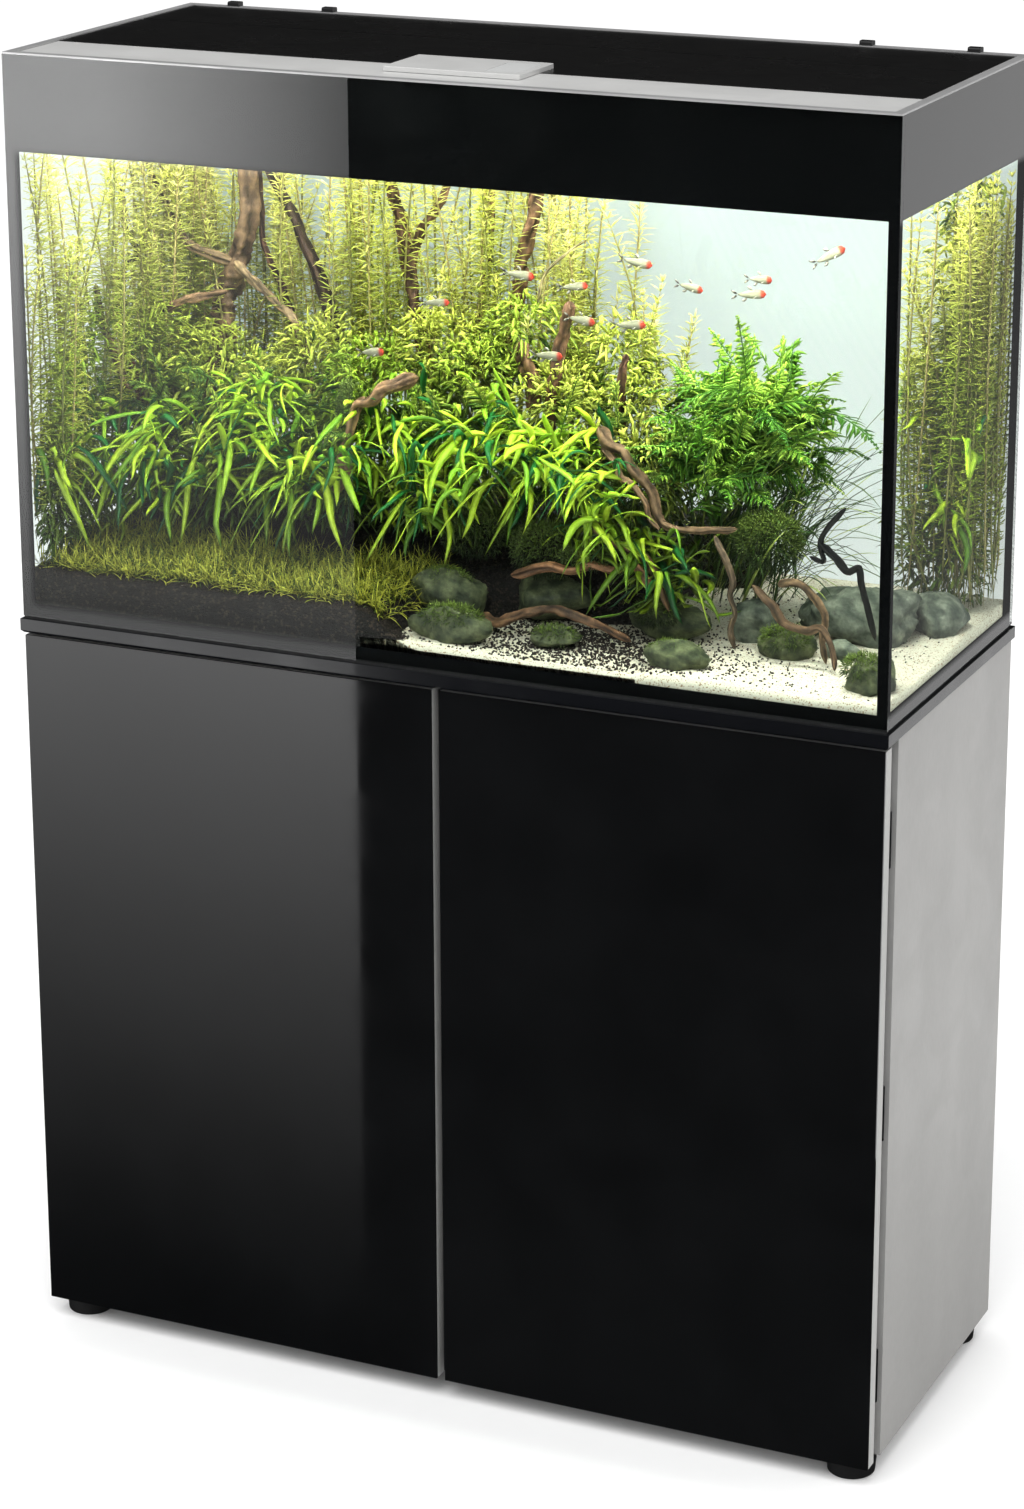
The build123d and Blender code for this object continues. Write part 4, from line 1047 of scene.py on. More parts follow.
class AQUARIUM_OT_strap_plants(bpy.types.Operator):
    """Plants the hanging strap-leaved ferns and the small-leaved bushes, in the middle ground and at the sides"""

    bl_idname = "aquarium.strap_plants"
    bl_label = "Plant the Middle Ground"

    def execute(self, context):
        look = context.scene.aquarium_plants
        finish = growing_finish("Strap Leaves", 0.32, 0.48, 110.0, 0.28, 0.35, 0.0006)
        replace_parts(self.strap_row(np.random.default_rng(80), look.strap, finish), "fern_plants")
        corner = np.array([(0.43, 0.13, 1.03), (0.452, 0.12, 0.975), (0.415, 0.15, 1.1), (0.46, 0.11, 1.07)])
        self.straps(np.random.default_rng(82), "corner_strap_ferns", corner, 12, look.strap * 0.8, (0.385, 0.485),
                    (0.06, 0.185), finish)
        small = growing_finish("Small Bush Leaves", 0.38, 0.52, 160.0, 0.25, 0.3, 0.0004)
        self.bushes(np.random.default_rng(81), small)
        return {"FINISHED"}

    def strap_row(self, rng, size, finish):
        """Clumps of strap leaves along the middle ground, highest in the middle and close to the pane at the left."""
        low = BOXES["fern_plants"][0]
        many = 56
        x = low[0] + 0.006 + (0.235 - low[0]) * (np.arange(many) + rng.uniform(-0.6, 0.6, many)) / many
        y = rng.uniform(-0.125, -0.02, many) - 0.045 * ease(-x, 0.4, 0.46)
        arch = np.sin(np.clip((x + 0.49) / 0.74, 0, 1) * math.pi)
        z = 0.98 + 0.075 * arch + rng.uniform(-0.06, 0.05, many) - 0.02 * ease(x, 0.16, 0.24)
        return self.straps(rng, "strap_ferns", np.stack([x, y, z], -1), 19, size, (TANK_LOW[0] + 0.006, 0.29),
                           (-0.19, 0.09), finish)

    def straps(self, rng, name, centres, per, size, across, deep, finish):
        """Rosettes of strap leaves that arch out from a root, then hang; each leaf twists a little along its length."""
        many = len(centres)
        owner = np.repeat(np.arange(many), per)
        mood = rng.uniform(-math.pi * 0.85, -math.pi * 0.15, many)
        angle = mood[owner] + rng.normal(0, 0.75, len(owner))
        angle = np.where(rng.random(len(owner)) < 0.15, rng.uniform(0, math.pi, len(owner)), angle)
        root = centres[owner] + rng.normal(0, 0.012, (len(owner), 3))
        length = size * rng.uniform(0.5, 1.3, len(owner))
        lift = rng.uniform(-0.2, 1.3, len(owner))
        droop = rng.uniform(0.2, 1.15, len(owner))
        out = heading(angle)
        path = leaf_paths(root, out, lift, length, droop, 10)
        t = np.linspace(0, 1, 10)
        wave = np.sin(t[None] * rng.uniform(3, 8, (len(owner), 1)) + rng.uniform(0, 6, (len(owner), 1))) * 0.005
        side = sideways(angle)
        path = path + side[:, None] * (wave * t)[..., None]
        keep_inside(path, across, deep)
        path[..., 2] = np.maximum(path[..., 2], 0.906)
        width = rng.uniform(0.0024, 0.0046, len(owner))[:, None] * leaf_profile(10, 0.42, 0.55)[None]
        turn = rng.uniform(-1.2, 1.2, (len(owner), 1)) * t[None] + rng.normal(0, 0.5, (len(owner), 1))
        tilt = side[:, None] * np.cos(turn)[..., None] + UP * np.sin(turn)[..., None]
        pick = rng.random(len(owner))
        base = blend_tints(screen(58, 118, 22), screen(180, 206, 50), pick**1.15)
        base = np.where((pick < 0.18)[:, None], np.array(screen(24, 84, 34)), base)
        # Painted shade: leaves are darker lower in the tank, farther from the lamp; each leaf is also brighter towards
        # its tip.
        depth_light = np.clip((path[..., 2] - 0.92) / 0.14, 0.15, 1)[..., None]
        tint = base[:, None] * (0.3 + 0.9 * depth_light) * (0.8 + 0.45 * t[None, :, None])
        part, tints = spindles(path, tilt, width, 0.0007, 4, tint=tint)
        return put_mesh(name, [part], finish, tints=[tints])

    def bushes(self, rng, finish):
        """Mounds of small pointed leaves: leaves stand outwards from the surface of several ellipsoids."""
        mounds = np.array([
            (-0.476, -0.13, 1.05, 0.012, 0.05, 0.08), (-0.474, -0.06, 1.1, 0.014, 0.06, 0.07),
            (-0.45, 0.02, 1.1, 0.045, 0.05, 0.06),
            (-0.37, 0.02, 1.07, 0.06, 0.05, 0.06), (-0.3, 0.0, 1.06, 0.05, 0.06, 0.05),
            (-0.24, 0.02, 1.1, 0.05, 0.05, 0.055), (-0.16, 0.0, 1.085, 0.055, 0.06, 0.055),
            (-0.1, 0.03, 1.13, 0.045, 0.05, 0.045), (-0.04, 0.0, 1.1, 0.05, 0.05, 0.055),
            (0.0, 0.04, 1.15, 0.04, 0.045, 0.045), (0.06, 0.0, 1.085, 0.05, 0.05, 0.05),
            (0.13, 0.02, 1.08, 0.045, 0.05, 0.05), (0.1, 0.06, 1.13, 0.045, 0.04, 0.04),
            (0.16, -0.02, 1.03, 0.05, 0.05, 0.05), (-0.33, -0.05, 0.98, 0.07, 0.05, 0.04),
            (-0.2, -0.05, 0.99, 0.07, 0.05, 0.04), (-0.06, -0.06, 1.0, 0.06, 0.04, 0.04),
        ])
        self.mound_leaves(rng, "small_leaf_bushes", mounds, 9800, (0.008, 0.024), finish)
        across = np.linspace(-0.46, 0.18, 9)
        low_row = np.stack([across, 0.04 + 0 * across, 0.95 + 0 * across, 0.055 + 0 * across, 0.035 + 0 * across,
                            0.05 + 0 * across], -1)
        sides = np.array([
            (-0.476, -0.15, 0.96, 0.012, 0.038, 0.045), (-0.474, -0.08, 0.97, 0.013, 0.05, 0.05),
            (-0.474, -0.16, 1.0, 0.014, 0.03, 0.06), (-0.47, -0.11, 0.95, 0.018, 0.05, 0.04),
            (-0.474, -0.12, 1.04, 0.014, 0.04, 0.05), (-0.476, -0.155, 0.955, 0.012, 0.034, 0.045),
            (0.444, 0.152, 0.915, 0.038, 0.032, 0.04), (0.41, 0.155, 0.93, 0.03, 0.028, 0.05),
            (-0.478, -0.15, 0.93, 0.01, 0.038, 0.025), (-0.474, -0.06, 0.94, 0.013, 0.05, 0.04),
            (0.444, 0.152, 0.99, 0.036, 0.03, 0.07), (0.444, 0.152, 1.1, 0.036, 0.03, 0.08),
            (0.444, 0.155, 1.22, 0.036, 0.025, 0.08), (0.446, 0.155, 1.32, 0.034, 0.022, 0.04),
        ])
        self.mound_leaves(rng, "corner_leaf_bushes", np.concatenate([low_row, sides]), 9000, (0.008, 0.022), finish)

    def mound_leaves(self, rng, name, mounds, many, reach, finish):
        """Leaves spread over the mounds by their rough area, with painted light: brighter outwards, upwards and higher
        in the tank, and painted shade inside the mounds and low down.
        """
        weight = mounds[:, 3] * mounds[:, 4] + mounds[:, 4] * mounds[:, 5] + mounds[:, 3] * mounds[:, 5]
        pick = rng.choice(len(mounds), many, p=weight / weight.sum())
        normal = unit(rng.normal(size=(many, 3)) + np.array([0, -0.35, 0.4]))
        depth = rng.uniform(0.5, 1.2, (many, 1)) ** 0.8
        root = mounds[pick, :3] + normal * mounds[pick, 3:] * depth
        root[:, 0] = np.clip(root[:, 0], TANK_LOW[0] + 0.006, 0.482)
        out = unit(normal * np.array([1, 1, 0.0]) + rng.normal(0, 0.6, (many, 3)) * np.array([1, 1, 0.0]))
        length = rng.uniform(*reach, many)
        lift = np.arcsin(np.clip(normal[:, 2], -0.9, 0.9)) * 0.6 + rng.normal(0.2, 0.5, many)
        path = leaf_paths(root, out, lift, length, rng.uniform(0.0, 0.9, many), 5)
        keep_inside(path, (TANK_LOW[0] + 0.003, 0.486), (-0.19, BACK_LIMIT))
        side = level_points(-out[:, 1], out[:, 0])[:, None] + rng.normal(0, 0.5, (many, 1, 3))
        width = rng.uniform(0.0014, 0.0034, many)[:, None] * leaf_profile(5, 0.45, 0.8)[None]
        # Painted light and shade: outer, upward-facing and higher leaves are lit, inner and low ones shaded.
        lit = np.clip(0.1 + 0.5 * (depth[:, 0] - 0.5) / 0.6 + 0.35 * normal[:, 2] + rng.normal(0, 0.2, many), 0, 1)
        lit = lit * (0.15 + 0.85 * ease(root[:, 2], 0.95, 1.1))
        group = rng.random(len(mounds))[pick]
        dark = blend_tints(screen(36, 66, 14), screen(66, 92, 22), group)
        pale = blend_tints(screen(150, 186, 50), screen(216, 220, 96), group)
        part, tints = spindles(path, side, width, 0.0005, 3, tint=blend_tints(dark, pale, lit))
        return put_mesh(name, [part], finish, tints=[tints])


class AQUARIUM_OT_fern_bush(bpy.types.Operator):
    """Plants the feathery fern bush, the feathery plants of the middle ground and the long grass behind the bush"""

    bl_idname = "aquarium.fern_bush"
    bl_label = "Plant the Fern Bush"

    def execute(self, context):
        fern = growing_finish("Feathery Fern", 0.4, 0.55, 150.0, 0.25, 0.25, 0.0004)
        rng = np.random.default_rng(90)
        many = 225
        along = rng.uniform(0, 1, many)
        root = np.stack([0.215 + 0.095 * along + rng.normal(0, 0.012, many), rng.normal(0.0, 0.025, many),
                         1.03 + 0.06 * along + rng.normal(0, 0.024, many)], -1)
        self.fronds(rng, "feathery_fern", root, rng.uniform(0.3, 1.45, many), rng.uniform(0.07, 0.135, many), 0.02,
                    (screen(48, 100, 28), screen(100, 156, 44), screen(112, 180, 48), screen(206, 230, 92)), fern)
        rng = np.random.default_rng(92)
        many = 190
        root = np.stack([rng.uniform(-0.47, 0.16, many), rng.uniform(-0.09, 0.03, many),
                         rng.uniform(0.99, 1.09, many)], -1)
        self.fronds(rng, "feathery_middle", root, rng.uniform(0.2, 1.4, many), rng.uniform(0.05, 0.1, many), 0.018,
                    (screen(44, 76, 22), screen(84, 122, 34), screen(128, 162, 48), screen(208, 216, 88)), fern)
        grass = growing_finish("Long Grass", 0.3, 0.45, 90.0, 0.22, 0.3, 0.0004)
        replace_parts(self.grass(np.random.default_rng(91), grass), "grass_plants")
        return {"FINISHED"}

    def fronds(self, rng, name, root, lift, length, leaflet, colours, finish):
        """Fronds that rise from their roots and arch out, each with pairs of leaflets that shorten to the tip."""
        many = len(root)
        deep, mid, green, light = colours
        angle = rng.uniform(0, 2 * math.pi, many)
        out = np.stack([np.cos(angle), np.sin(angle) * 0.8, 0 * angle], -1)
        rib = leaf_paths(root, out, lift, length, rng.uniform(0.1, 0.65, many), 12)
        rib[..., 0] = np.maximum(rib[..., 0], TANK_LOW[0] + 0.012)
        rib[..., 1] = np.clip(rib[..., 1], -0.13, 0.12)
        pick = rng.random(many)
        dark = blend_tints(deep, mid, pick)
        part, tints = spindles(rib, np.array([0.3, 1.0, 0.2]), 0.0008, 0.0008, 4, tint=dark * 0.7)
        pairs = 24
        t = np.linspace(0.1, 0.98, pairs)
        where = t * 11
        i = np.minimum(where.astype(int), 10)
        u = (where - i)[None, :, None]
        centre = rib[:, i] * (1 - u) + rib[:, i + 1] * u
        along = unit(rib[:, i + 1] - rib[:, i])
        flat = unit(np.cross(along, UP) + rng.normal(0, 0.4, (many, 1, 3)))
        both = np.stack([flat, -flat], 2) * 0.8 + along[:, :, None] * 0.6
        both = unit(both + rng.normal(0, 0.2, both.shape))
        reach = (leaflet * np.sin(np.clip(t * 1.05 + 0.1, 0, 1) * math.pi) ** 0.7 + 0.003)[None, :, None, None]
        reach = reach * rng.uniform(0.5, 1.2, (many, pairs, 2, 1))
        start = np.repeat(centre[:, :, None], 2, 2)
        s = np.linspace(0, 1, 4)[:, None]
        leaf = start[..., None, :] + both[..., None, :] * (reach[..., None] * s)
        leaf = leaf - UP * 0.3 * reach[..., None] * s**2
        leaf = leaf.reshape(-1, 4, 3)
        leaf[..., 0] = np.maximum(leaf[..., 0], TANK_LOW[0] + 0.003)
        side = np.repeat(along[:, :, None], 2, 2).reshape(-1, 1, 3)
        width = np.array([0, 0.0018, 0.0014, 0])[None]
        owner = np.repeat(np.arange(many), pairs * 2)
        # Painted light: leaflets are brighter the higher they stand above the frond's root, and darker low down.
        height = np.clip((leaf[:, 0, 2] - root[owner, 2]) / 0.09, 0, 1)
        bright = blend_tints(green, light, pick)[owner]
        tint = blend_tints(dark[owner] * 0.7, bright, np.clip(height + rng.normal(0, 0.2, len(height)), 0, 1))
        more, more_tints = spindles(leaf, side, width, 0.0005, 4, tint=tint)
        return put_mesh(name, [part, more], finish, tints=[tints, more_tints])

    def grass(self, rng, finish):
        """Long thin blades that rise from a clump behind the fern bush and sweep over to the right."""
        many = 300
        root = np.stack([rng.uniform(0.2, 0.3, many), rng.uniform(0.0, 0.1, many), rng.uniform(0.875, 0.97, many)], -1)
        angle = rng.normal(-0.3, 0.45, many)
        angle = np.where(rng.random(many) < 0.15, rng.uniform(-math.pi, math.pi, many), angle)
        out = heading(angle)
        length = rng.uniform(0.14, 0.27, many)
        path = leaf_paths(root, out, rng.uniform(0.75, 1.4, many), length, rng.uniform(0.1, 0.75, many), 10)
        keep_inside(path, (0.17, 0.47), (-0.1, 0.185))
        side = sideways(angle)[:, None]
        width = rng.uniform(0.0009, 0.002, many)[:, None] * leaf_profile(10, 0.25, 0.5)[None]
        pick = rng.random(many)
        base = blend_tints(screen(38, 66, 32), screen(96, 128, 56), pick)
        base = np.where((pick > 0.86)[:, None], np.array(screen(168, 186, 90)), base)
        # Painted shade: each blade is darker towards its root inside the clump and brighter towards its tip.
        tint = base[:, None] * np.linspace(0.6, 1.3, 10)[None, :, None]
        part, tints = spindles(path, side, width, 0.0004, 4, tint=tint)
        return put_mesh("long_grass", [part], finish, tints=[tints])


class AQUARIUM_OT_hairgrass(bpy.types.Operator):
    """Plants the foreground hairgrass and the moss on stones and roots"""

    bl_idname = "aquarium.hairgrass"
    bl_label = "Plant the Foreground"

    def execute(self, context):
        look = context.scene.aquarium_plants
        ground = context.scene.aquarium_ground
        finish = growing_finish("Hairgrass", 0.42, 0.58, 200.0, 0.25, 0.2, 0.0003)
        obj = self.blades(np.random.default_rng(95), look.grass, ground.soil_front, finish)
        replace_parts(obj, "carpet_plants")
        moss = growing_finish("Moss", 0.6, 0.75, 300.0, 0.3, 0.3, 0.0003)
        self.moss(np.random.default_rng(96), ground.soil_front, moss)
        return {"FINISHED"}

    def blades(self, rng, height, front, finish):
        """Short curved blades over the soil slope, thinning out at the front strip and the sand edge."""
        low, high = BOXES["carpet_plants"]
        many = 17000
        x = rng.uniform(TANK_LOW[0] + 0.002, -0.045, many)
        y = rng.uniform(-0.184, -0.06, many)
        dense = ease(ripple(level_points(x, y), 0.03, 97), -0.55, 0.35)
        keep = (rng.random(many) < dense) & (soil_share(x, y) > 0.6)
        x, y = x[keep], y[keep]
        many = len(x)
        root = np.stack([x, y, soil_height(x, y, front) - 0.001], -1)
        angle = rng.uniform(0, 2 * math.pi, many)
        out = heading(angle)
        length = height * rng.uniform(0.4, 1.3, many) * (0.75 + 0.5 * dense[keep])
        path = leaf_paths(root, out, rng.uniform(0.4, 1.5, many), length, rng.uniform(0.0, 0.8, many), 4)
        path[..., 0] = np.maximum(path[..., 0], TANK_LOW[0] + 0.002)
        path[..., 1] = np.maximum(path[..., 1], -0.194)
        side = sideways(angle)[:, None]
        width = np.array([0, 0.0006, 0.0005, 0])[None]
        pick = rng.random(many)
        base = blend_tints(screen(116, 130, 34), screen(200, 198, 76), pick)
        base = np.where((pick < 0.25)[:, None], np.array(screen(66, 84, 26)), base)
        # Painted shade: each blade is darker at its root down in the carpet and brighter towards its tip.
        tint = base[:, None] * np.array([0.45, 0.8, 1.1, 1.2])[None, :, None]
        part, tints = spindles(path, side, width, 0.0004, 3, tint=tint)
        return put_mesh("hairgrass_carpet", [part], finish, tints=[tints])

    def moss(self, rng, front, finish):
        """Cushions of tiny leaves: each leaf stands outwards from an ellipsoid, on stones, roots and the ball."""
        cushions = np.array([
            (0.316, -0.058, 0.985, 0.038, 0.026, 0.03), (0.252, -0.156, 0.881, 0.03, 0.016, 0.012),
            (0.112, -0.142, 0.88, 0.024, 0.014, 0.009), (0.345, -0.078, 0.886, 0.028, 0.02, 0.014),
            (0.456, -0.156, 0.893, 0.02, 0.024, 0.012), (0.004, -0.166, 0.894, 0.036, 0.016, 0.012),
            (-0.03, -0.11, 0.91, 0.032, 0.022, 0.018), (0.176, -0.075, 1.03, 0.03, 0.02, 0.02),
            (-0.145, -0.1, 1.09, 0.014, 0.014, 0.03), (0.2, -0.08, 0.9, 0.024, 0.02, 0.014),
            (0.13, -0.1, 0.955, 0.034, 0.014, 0.008), (0.07, -0.07, 0.95, 0.04, 0.03, 0.03),
            (-0.02, -0.06, 0.96, 0.04, 0.03, 0.03),
        ])
        many = 15000
        weight = cushions[:, 3] * cushions[:, 5]
        pick = rng.choice(len(cushions), many, p=weight / weight.sum())
        normal = unit(rng.normal(size=(many, 3)) + np.array([0, -0.2, 0.45]))
        root = cushions[pick, :3] + normal * cushions[pick, 3:] * rng.uniform(0.75, 1.0, (many, 1))
        out = unit(normal * np.array([1, 1, 0.05]) + rng.normal(0, 0.4, (many, 3)))
        lift = np.arcsin(np.clip(normal[:, 2], -0.9, 0.9)) + rng.normal(0, 0.4, many)
        path = leaf_paths(root, out, lift, rng.uniform(0.004, 0.009, many), rng.uniform(-0.1, 0.3, many), 3)
        path[..., 1] = np.maximum(path[..., 1], -0.1935)
        side = unit(rng.normal(size=(many, 3)))[:, None]
        # Painted light: leaves facing upwards are lighter, and those facing down are shaded.
        lit = np.clip(0.35 + 0.5 * normal[:, 2] + rng.normal(0, 0.18, many), 0, 1)
        tint = blend_tints(screen(34, 50, 18), screen(104, 124, 48), lit)
        part, tints = spindles(path, side, 0.0007, 0.0005, 3, tint=tint)
        return put_mesh("moss_cushions", [part], finish, tints=[tints])


# ---------------------------------------------------------------- fish and water


SHOAL = (
    # x, y, z (mm), heading and climb in degrees (heading 0 swims along +X)
    (398, -70, 1302, 20, 28),
    (330, -96, 1268, -12, 4),
    (203, -104, 1274, 8, -10),
    (312, -64, 1246, 16, 2),
    (261, -110, 1254, -6, -8),
    (188, -84, 1207, 10, 3),
    (138, -100, 1208, -8, -4),
    (118, -72, 1240, 12, 6),
    (68, -96, 1249, 4, -6),
    (-26, -104, 1216, 14, 2),
    (-99, -112, 1158, -10, 8),
    (105, -108, 1171, 6, 0),
)


class AQUARIUM_OT_fish(bpy.types.Operator):
    """Adds the shoal of small silver fish with red heads"""

    bl_idname = "aquarium.fish"
    bl_label = "Add the Fish"

    def execute(self, context):
        look = context.scene.aquarium_fish
        shoal = np.array(SHOAL, float)
        rng = np.random.default_rng(101)
        nose = shoal[:, :3] / 1000
        turn, climb = np.radians(shoal[:, 3]), np.radians(shoal[:, 4])
        ahead = np.stack([np.cos(turn) * np.cos(climb), np.sin(turn) * np.cos(climb), np.sin(climb)], -1)
        across = unit(np.cross(ahead, UP))
        upward = np.cross(across, ahead)
        length = look.length * rng.uniform(0.88, 1.1, len(shoal))
        bend = rng.uniform(-0.05, 0.05, len(shoal))
        self.facts = (nose, ahead, across, upward, length, bend)
        body, tint = self.bodies(tuple(look.head))
        fins, fin_tint = self.fins()
        eyes, eye_tint = self.eyes()
        finish = growing_finish("Fish Skin", 0.22, 0.34, 320.0, 0.12, 0.1, 0.0002)
        put_mesh("fish_shoal", [body, *fins, eyes], finish, tints=[tint, *fin_tint, eye_tint])
        return {"FINISHED"}

    def at(self, along, out=0.0, up=0.0):
        """Points on the fish: along from nose (0) to tail root (1), out to its side and up, in body lengths."""
        nose, ahead, across, upward, length, bend = self.facts
        along, out, up = np.broadcast_arrays(np.atleast_1d(along), out, up)
        run = length[:, None, None]
        sway = out[None, :, None] + bend[:, None, None] * np.sin(along * math.pi * 0.9)[None, :, None]
        return (nose[:, None] - ahead[:, None] * along[None, :, None] * run
                + across[:, None] * sway * run + upward[:, None] * up[None, :, None] * run)

    def bodies(self, head):
        """The body: an oval section whose height and width swell behind the head and narrow to the tail root."""
        s = np.linspace(0, 1, 18) ** 0.85
        tall = 0.122 * np.sin(np.clip(s * 1.02, 0, 1) ** 0.62 * math.pi) ** 0.72 + 0.018
        wide = 0.062 * np.sin(s**0.52 * math.pi) ** 0.8 + 0.008
        path = self.at(s * 0.86, 0.0, 0.0)
        length = self.facts[4][:, None]
        red = 1 - ease(s, 0.14, 0.25)
        silver, tail = np.array(screen(138, 136, 112)), np.array(screen(74, 68, 58))
        tint = blend_tints(silver, np.array(head), red)
        tint = blend_tints(tint, tail, ease(s, 0.9, 1.0))
        return spindles(path, self.facts[3][:, None], tall * length, wide * length, 12,
                        tint=np.broadcast_to(tint, (len(path), 18, 3)))

    def fins(self):
        """Thin closed fins: a forked tail of two blades, a back fin, a belly fin and a pair of side fins."""
        length = self.facts[4][:, None]
        pale, dark = np.array(screen(150, 146, 132)), np.array(screen(38, 34, 32))
        parts, tints = [], []
        shapes = (
            ((0.84, 0.92, 1.0, 1.06), (0, 0, 0, 0), (0.01, 0.05, 0.1, 0.14), 0.035),
            ((0.84, 0.92, 1.0, 1.06), (0, 0, 0, 0), (-0.01, -0.05, -0.1, -0.14), 0.035),
            ((0.42, 0.46, 0.52, 0.57), (0, 0, 0, 0), (0.11, 0.17, 0.22, 0.25), 0.04),
            ((0.56, 0.62, 0.68, 0.74), (0, 0, 0, 0), (-0.1, -0.14, -0.18, -0.2), 0.045),
            ((0.27, 0.32, 0.37, 0.4), (0.05, 0.075, 0.095, 0.105), (-0.04, -0.07, -0.1, -0.12), 0.02),
            ((0.27, 0.32, 0.37, 0.4), (-0.05, -0.075, -0.095, -0.105), (-0.04, -0.07, -0.1, -0.12), 0.02),
        )
        for number, (along, out, up, wide) in enumerate(shapes):
            path = self.at(np.array(along), np.array(out), np.array(up))
            bands = np.array([pale, dark, pale, dark]) if number < 2 else np.array([pale] * 4)
            part, rows = spindles(path, self.facts[1][:, None], wide * length, 0.006 * length, 4,
                                  tint=np.broadcast_to(bands, (len(path), 4, 3)))
            parts.append(part)
            tints.append(rows)
        return parts, tints

    def eyes(self):
        """Two small flat discs, one on each side of the head."""
        length = self.facts[4]
        black = np.array(screen(14, 12, 12))
        paths = np.concatenate([
            self.at(np.array([0.1, 0.1, 0.1]), np.array([0.03, 0.042, 0.05]) * sign, np.array([0.025] * 3))
            for sign in (1, -1)])
        side = np.concatenate([self.facts[3][:, None]] * 2)
        size = np.concatenate([length[:, None]] * 2) * 0.026
        return spindles(paths, side, size, size, 10, tint=np.broadcast_to(black, (len(paths), 3, 3)))


class AQUARIUM_OT_water(bpy.types.Operator):
    """Adds the water's surface as a thin clear sheet with low ripples"""

    bl_idname = "aquarium.water"
    bl_label = "Add the Water Surface"

    def execute(self, context):
        x = np.linspace(TANK_LOW[0] + 0.0005, TANK_HIGH[0] - 0.0005, 80)
        y = np.linspace(TANK_LOW[1] + 0.0005, TANK_HIGH[1] - 0.0005, 34)
        points = level_points(*np.meshgrid(x, y, indexing="ij"))
        level = WATER_LEVEL + 0.0007 * ripple(points, 0.12, 110) + 0.0003 * ripple(points, 0.04, 111)
        material = clear_finish("Water Surface", (0.98, 0.995, 0.99), 1.33)
        put_mesh("water_surface", [height_block(x, y, level, WATER_BOTTOM)], material)
        return {"FINISHED"}


# ---------------------------------------------------------------- stage


CAMERA_PLACE = (1.7057, -3.7490, 2.0823)
CAMERA_TURN = (0.4279, -0.2871, -0.0029)
CAMERA_LENS = 93.86
CAMERA_SHIFT = -0.1024
ROOM_LIGHT = (1.05, 0.012)


def flat_card(name, corners, material, **seen):
    """A flat four-cornered card for light or floor; seen says which rays meet it."""
    mesh = bpy.data.meshes.new(name)
    mesh.from_pydata([tuple(c) for c in corners], [], [(0, 1, 2, 3)])
    mesh.materials.append(material)
    obj = bpy.data.objects.new(name, mesh)
    bpy.context.scene.collection.objects.link(obj)
    for key in ("camera", "diffuse", "glossy", "transmission", "volume_scatter", "shadow"):
        setattr(obj, "visible_" + key, seen.get(key, False))
    return obj


def glow_finish(name, low, high, base, top, power, corner, shade, keep):
    """A light card whose strength runs up from base to top between two heights, as a power of the height.

    With a corner (start x, reach, start z, rise, strength), extra light is added towards that upper corner. Where
    every (a, b, limit) in shade has a times x plus b times z above its limit, only the share keep is left.
    """
    material = bpy.data.materials.new(name)
    material.use_nodes = True
    tree = material.node_tree
    tree.nodes.clear()
    parts = place(tree, "ShaderNodeSeparateXYZ", {0: object_place(tree)}).outputs
    curve = maths(tree, "POWER", ranged(tree, parts["Z"], low, high), power)
    strength = maths(tree, "MULTIPLY_ADD", curve, top - base, base)
    if corner:
        x, reach, z, climb, extra = corner
        along = ranged(tree, parts["X"], x, x - reach)
        share = maths(tree, "MULTIPLY", along, ranged(tree, parts["Z"], z, z + climb))
        strength = maths(tree, "MULTIPLY_ADD", share, extra, strength)
    inside = 1.0
    for a, b, limit in shade:
        side = maths(tree, "MULTIPLY_ADD", parts["Z"], b, maths(tree, "MULTIPLY", parts["X"], a))
        inside = maths(tree, "MULTIPLY", ranged(tree, side, limit - 0.01, limit + 0.01), inside)
    strength = maths(tree, "MULTIPLY", maths(tree, "MULTIPLY_ADD", inside, keep - 1, 1.0), strength)
    glow = place(tree, "ShaderNodeEmission", {"Strength": strength})
    place(tree, "ShaderNodeOutputMaterial", {"Surface": glow.outputs[0]})
    return material


def stand(obj, across, up, back, where):
    """Links an object and stands it at a place, its X, Y and Z axes along across, up and back."""
    bpy.context.scene.collection.objects.link(obj)
    turn = np.eye(4)
    turn[:3] = np.stack([across, up, back, where], -1)
    obj.matrix_world = Matrix(turn.tolist())


def soft_light(name, where, aim, size, power, colour=(1, 1, 1), glossy=True):
    """A square or long area light pointing at a place."""
    data = bpy.data.lights.new(name, "AREA")
    data.shape = "RECTANGLE"
    data.size, data.size_y = size
    data.energy = power
    data.color = colour
    obj = bpy.data.objects.new(name, data)
    back = unit(np.subtract(where, aim))
    across = unit(np.cross([0.0, 1.0, 0.0], back))
    stand(obj, across, np.cross(back, across), back, where)
    obj.visible_camera = False
    obj.visible_transmission = False
    obj.visible_glossy = glossy
    return obj


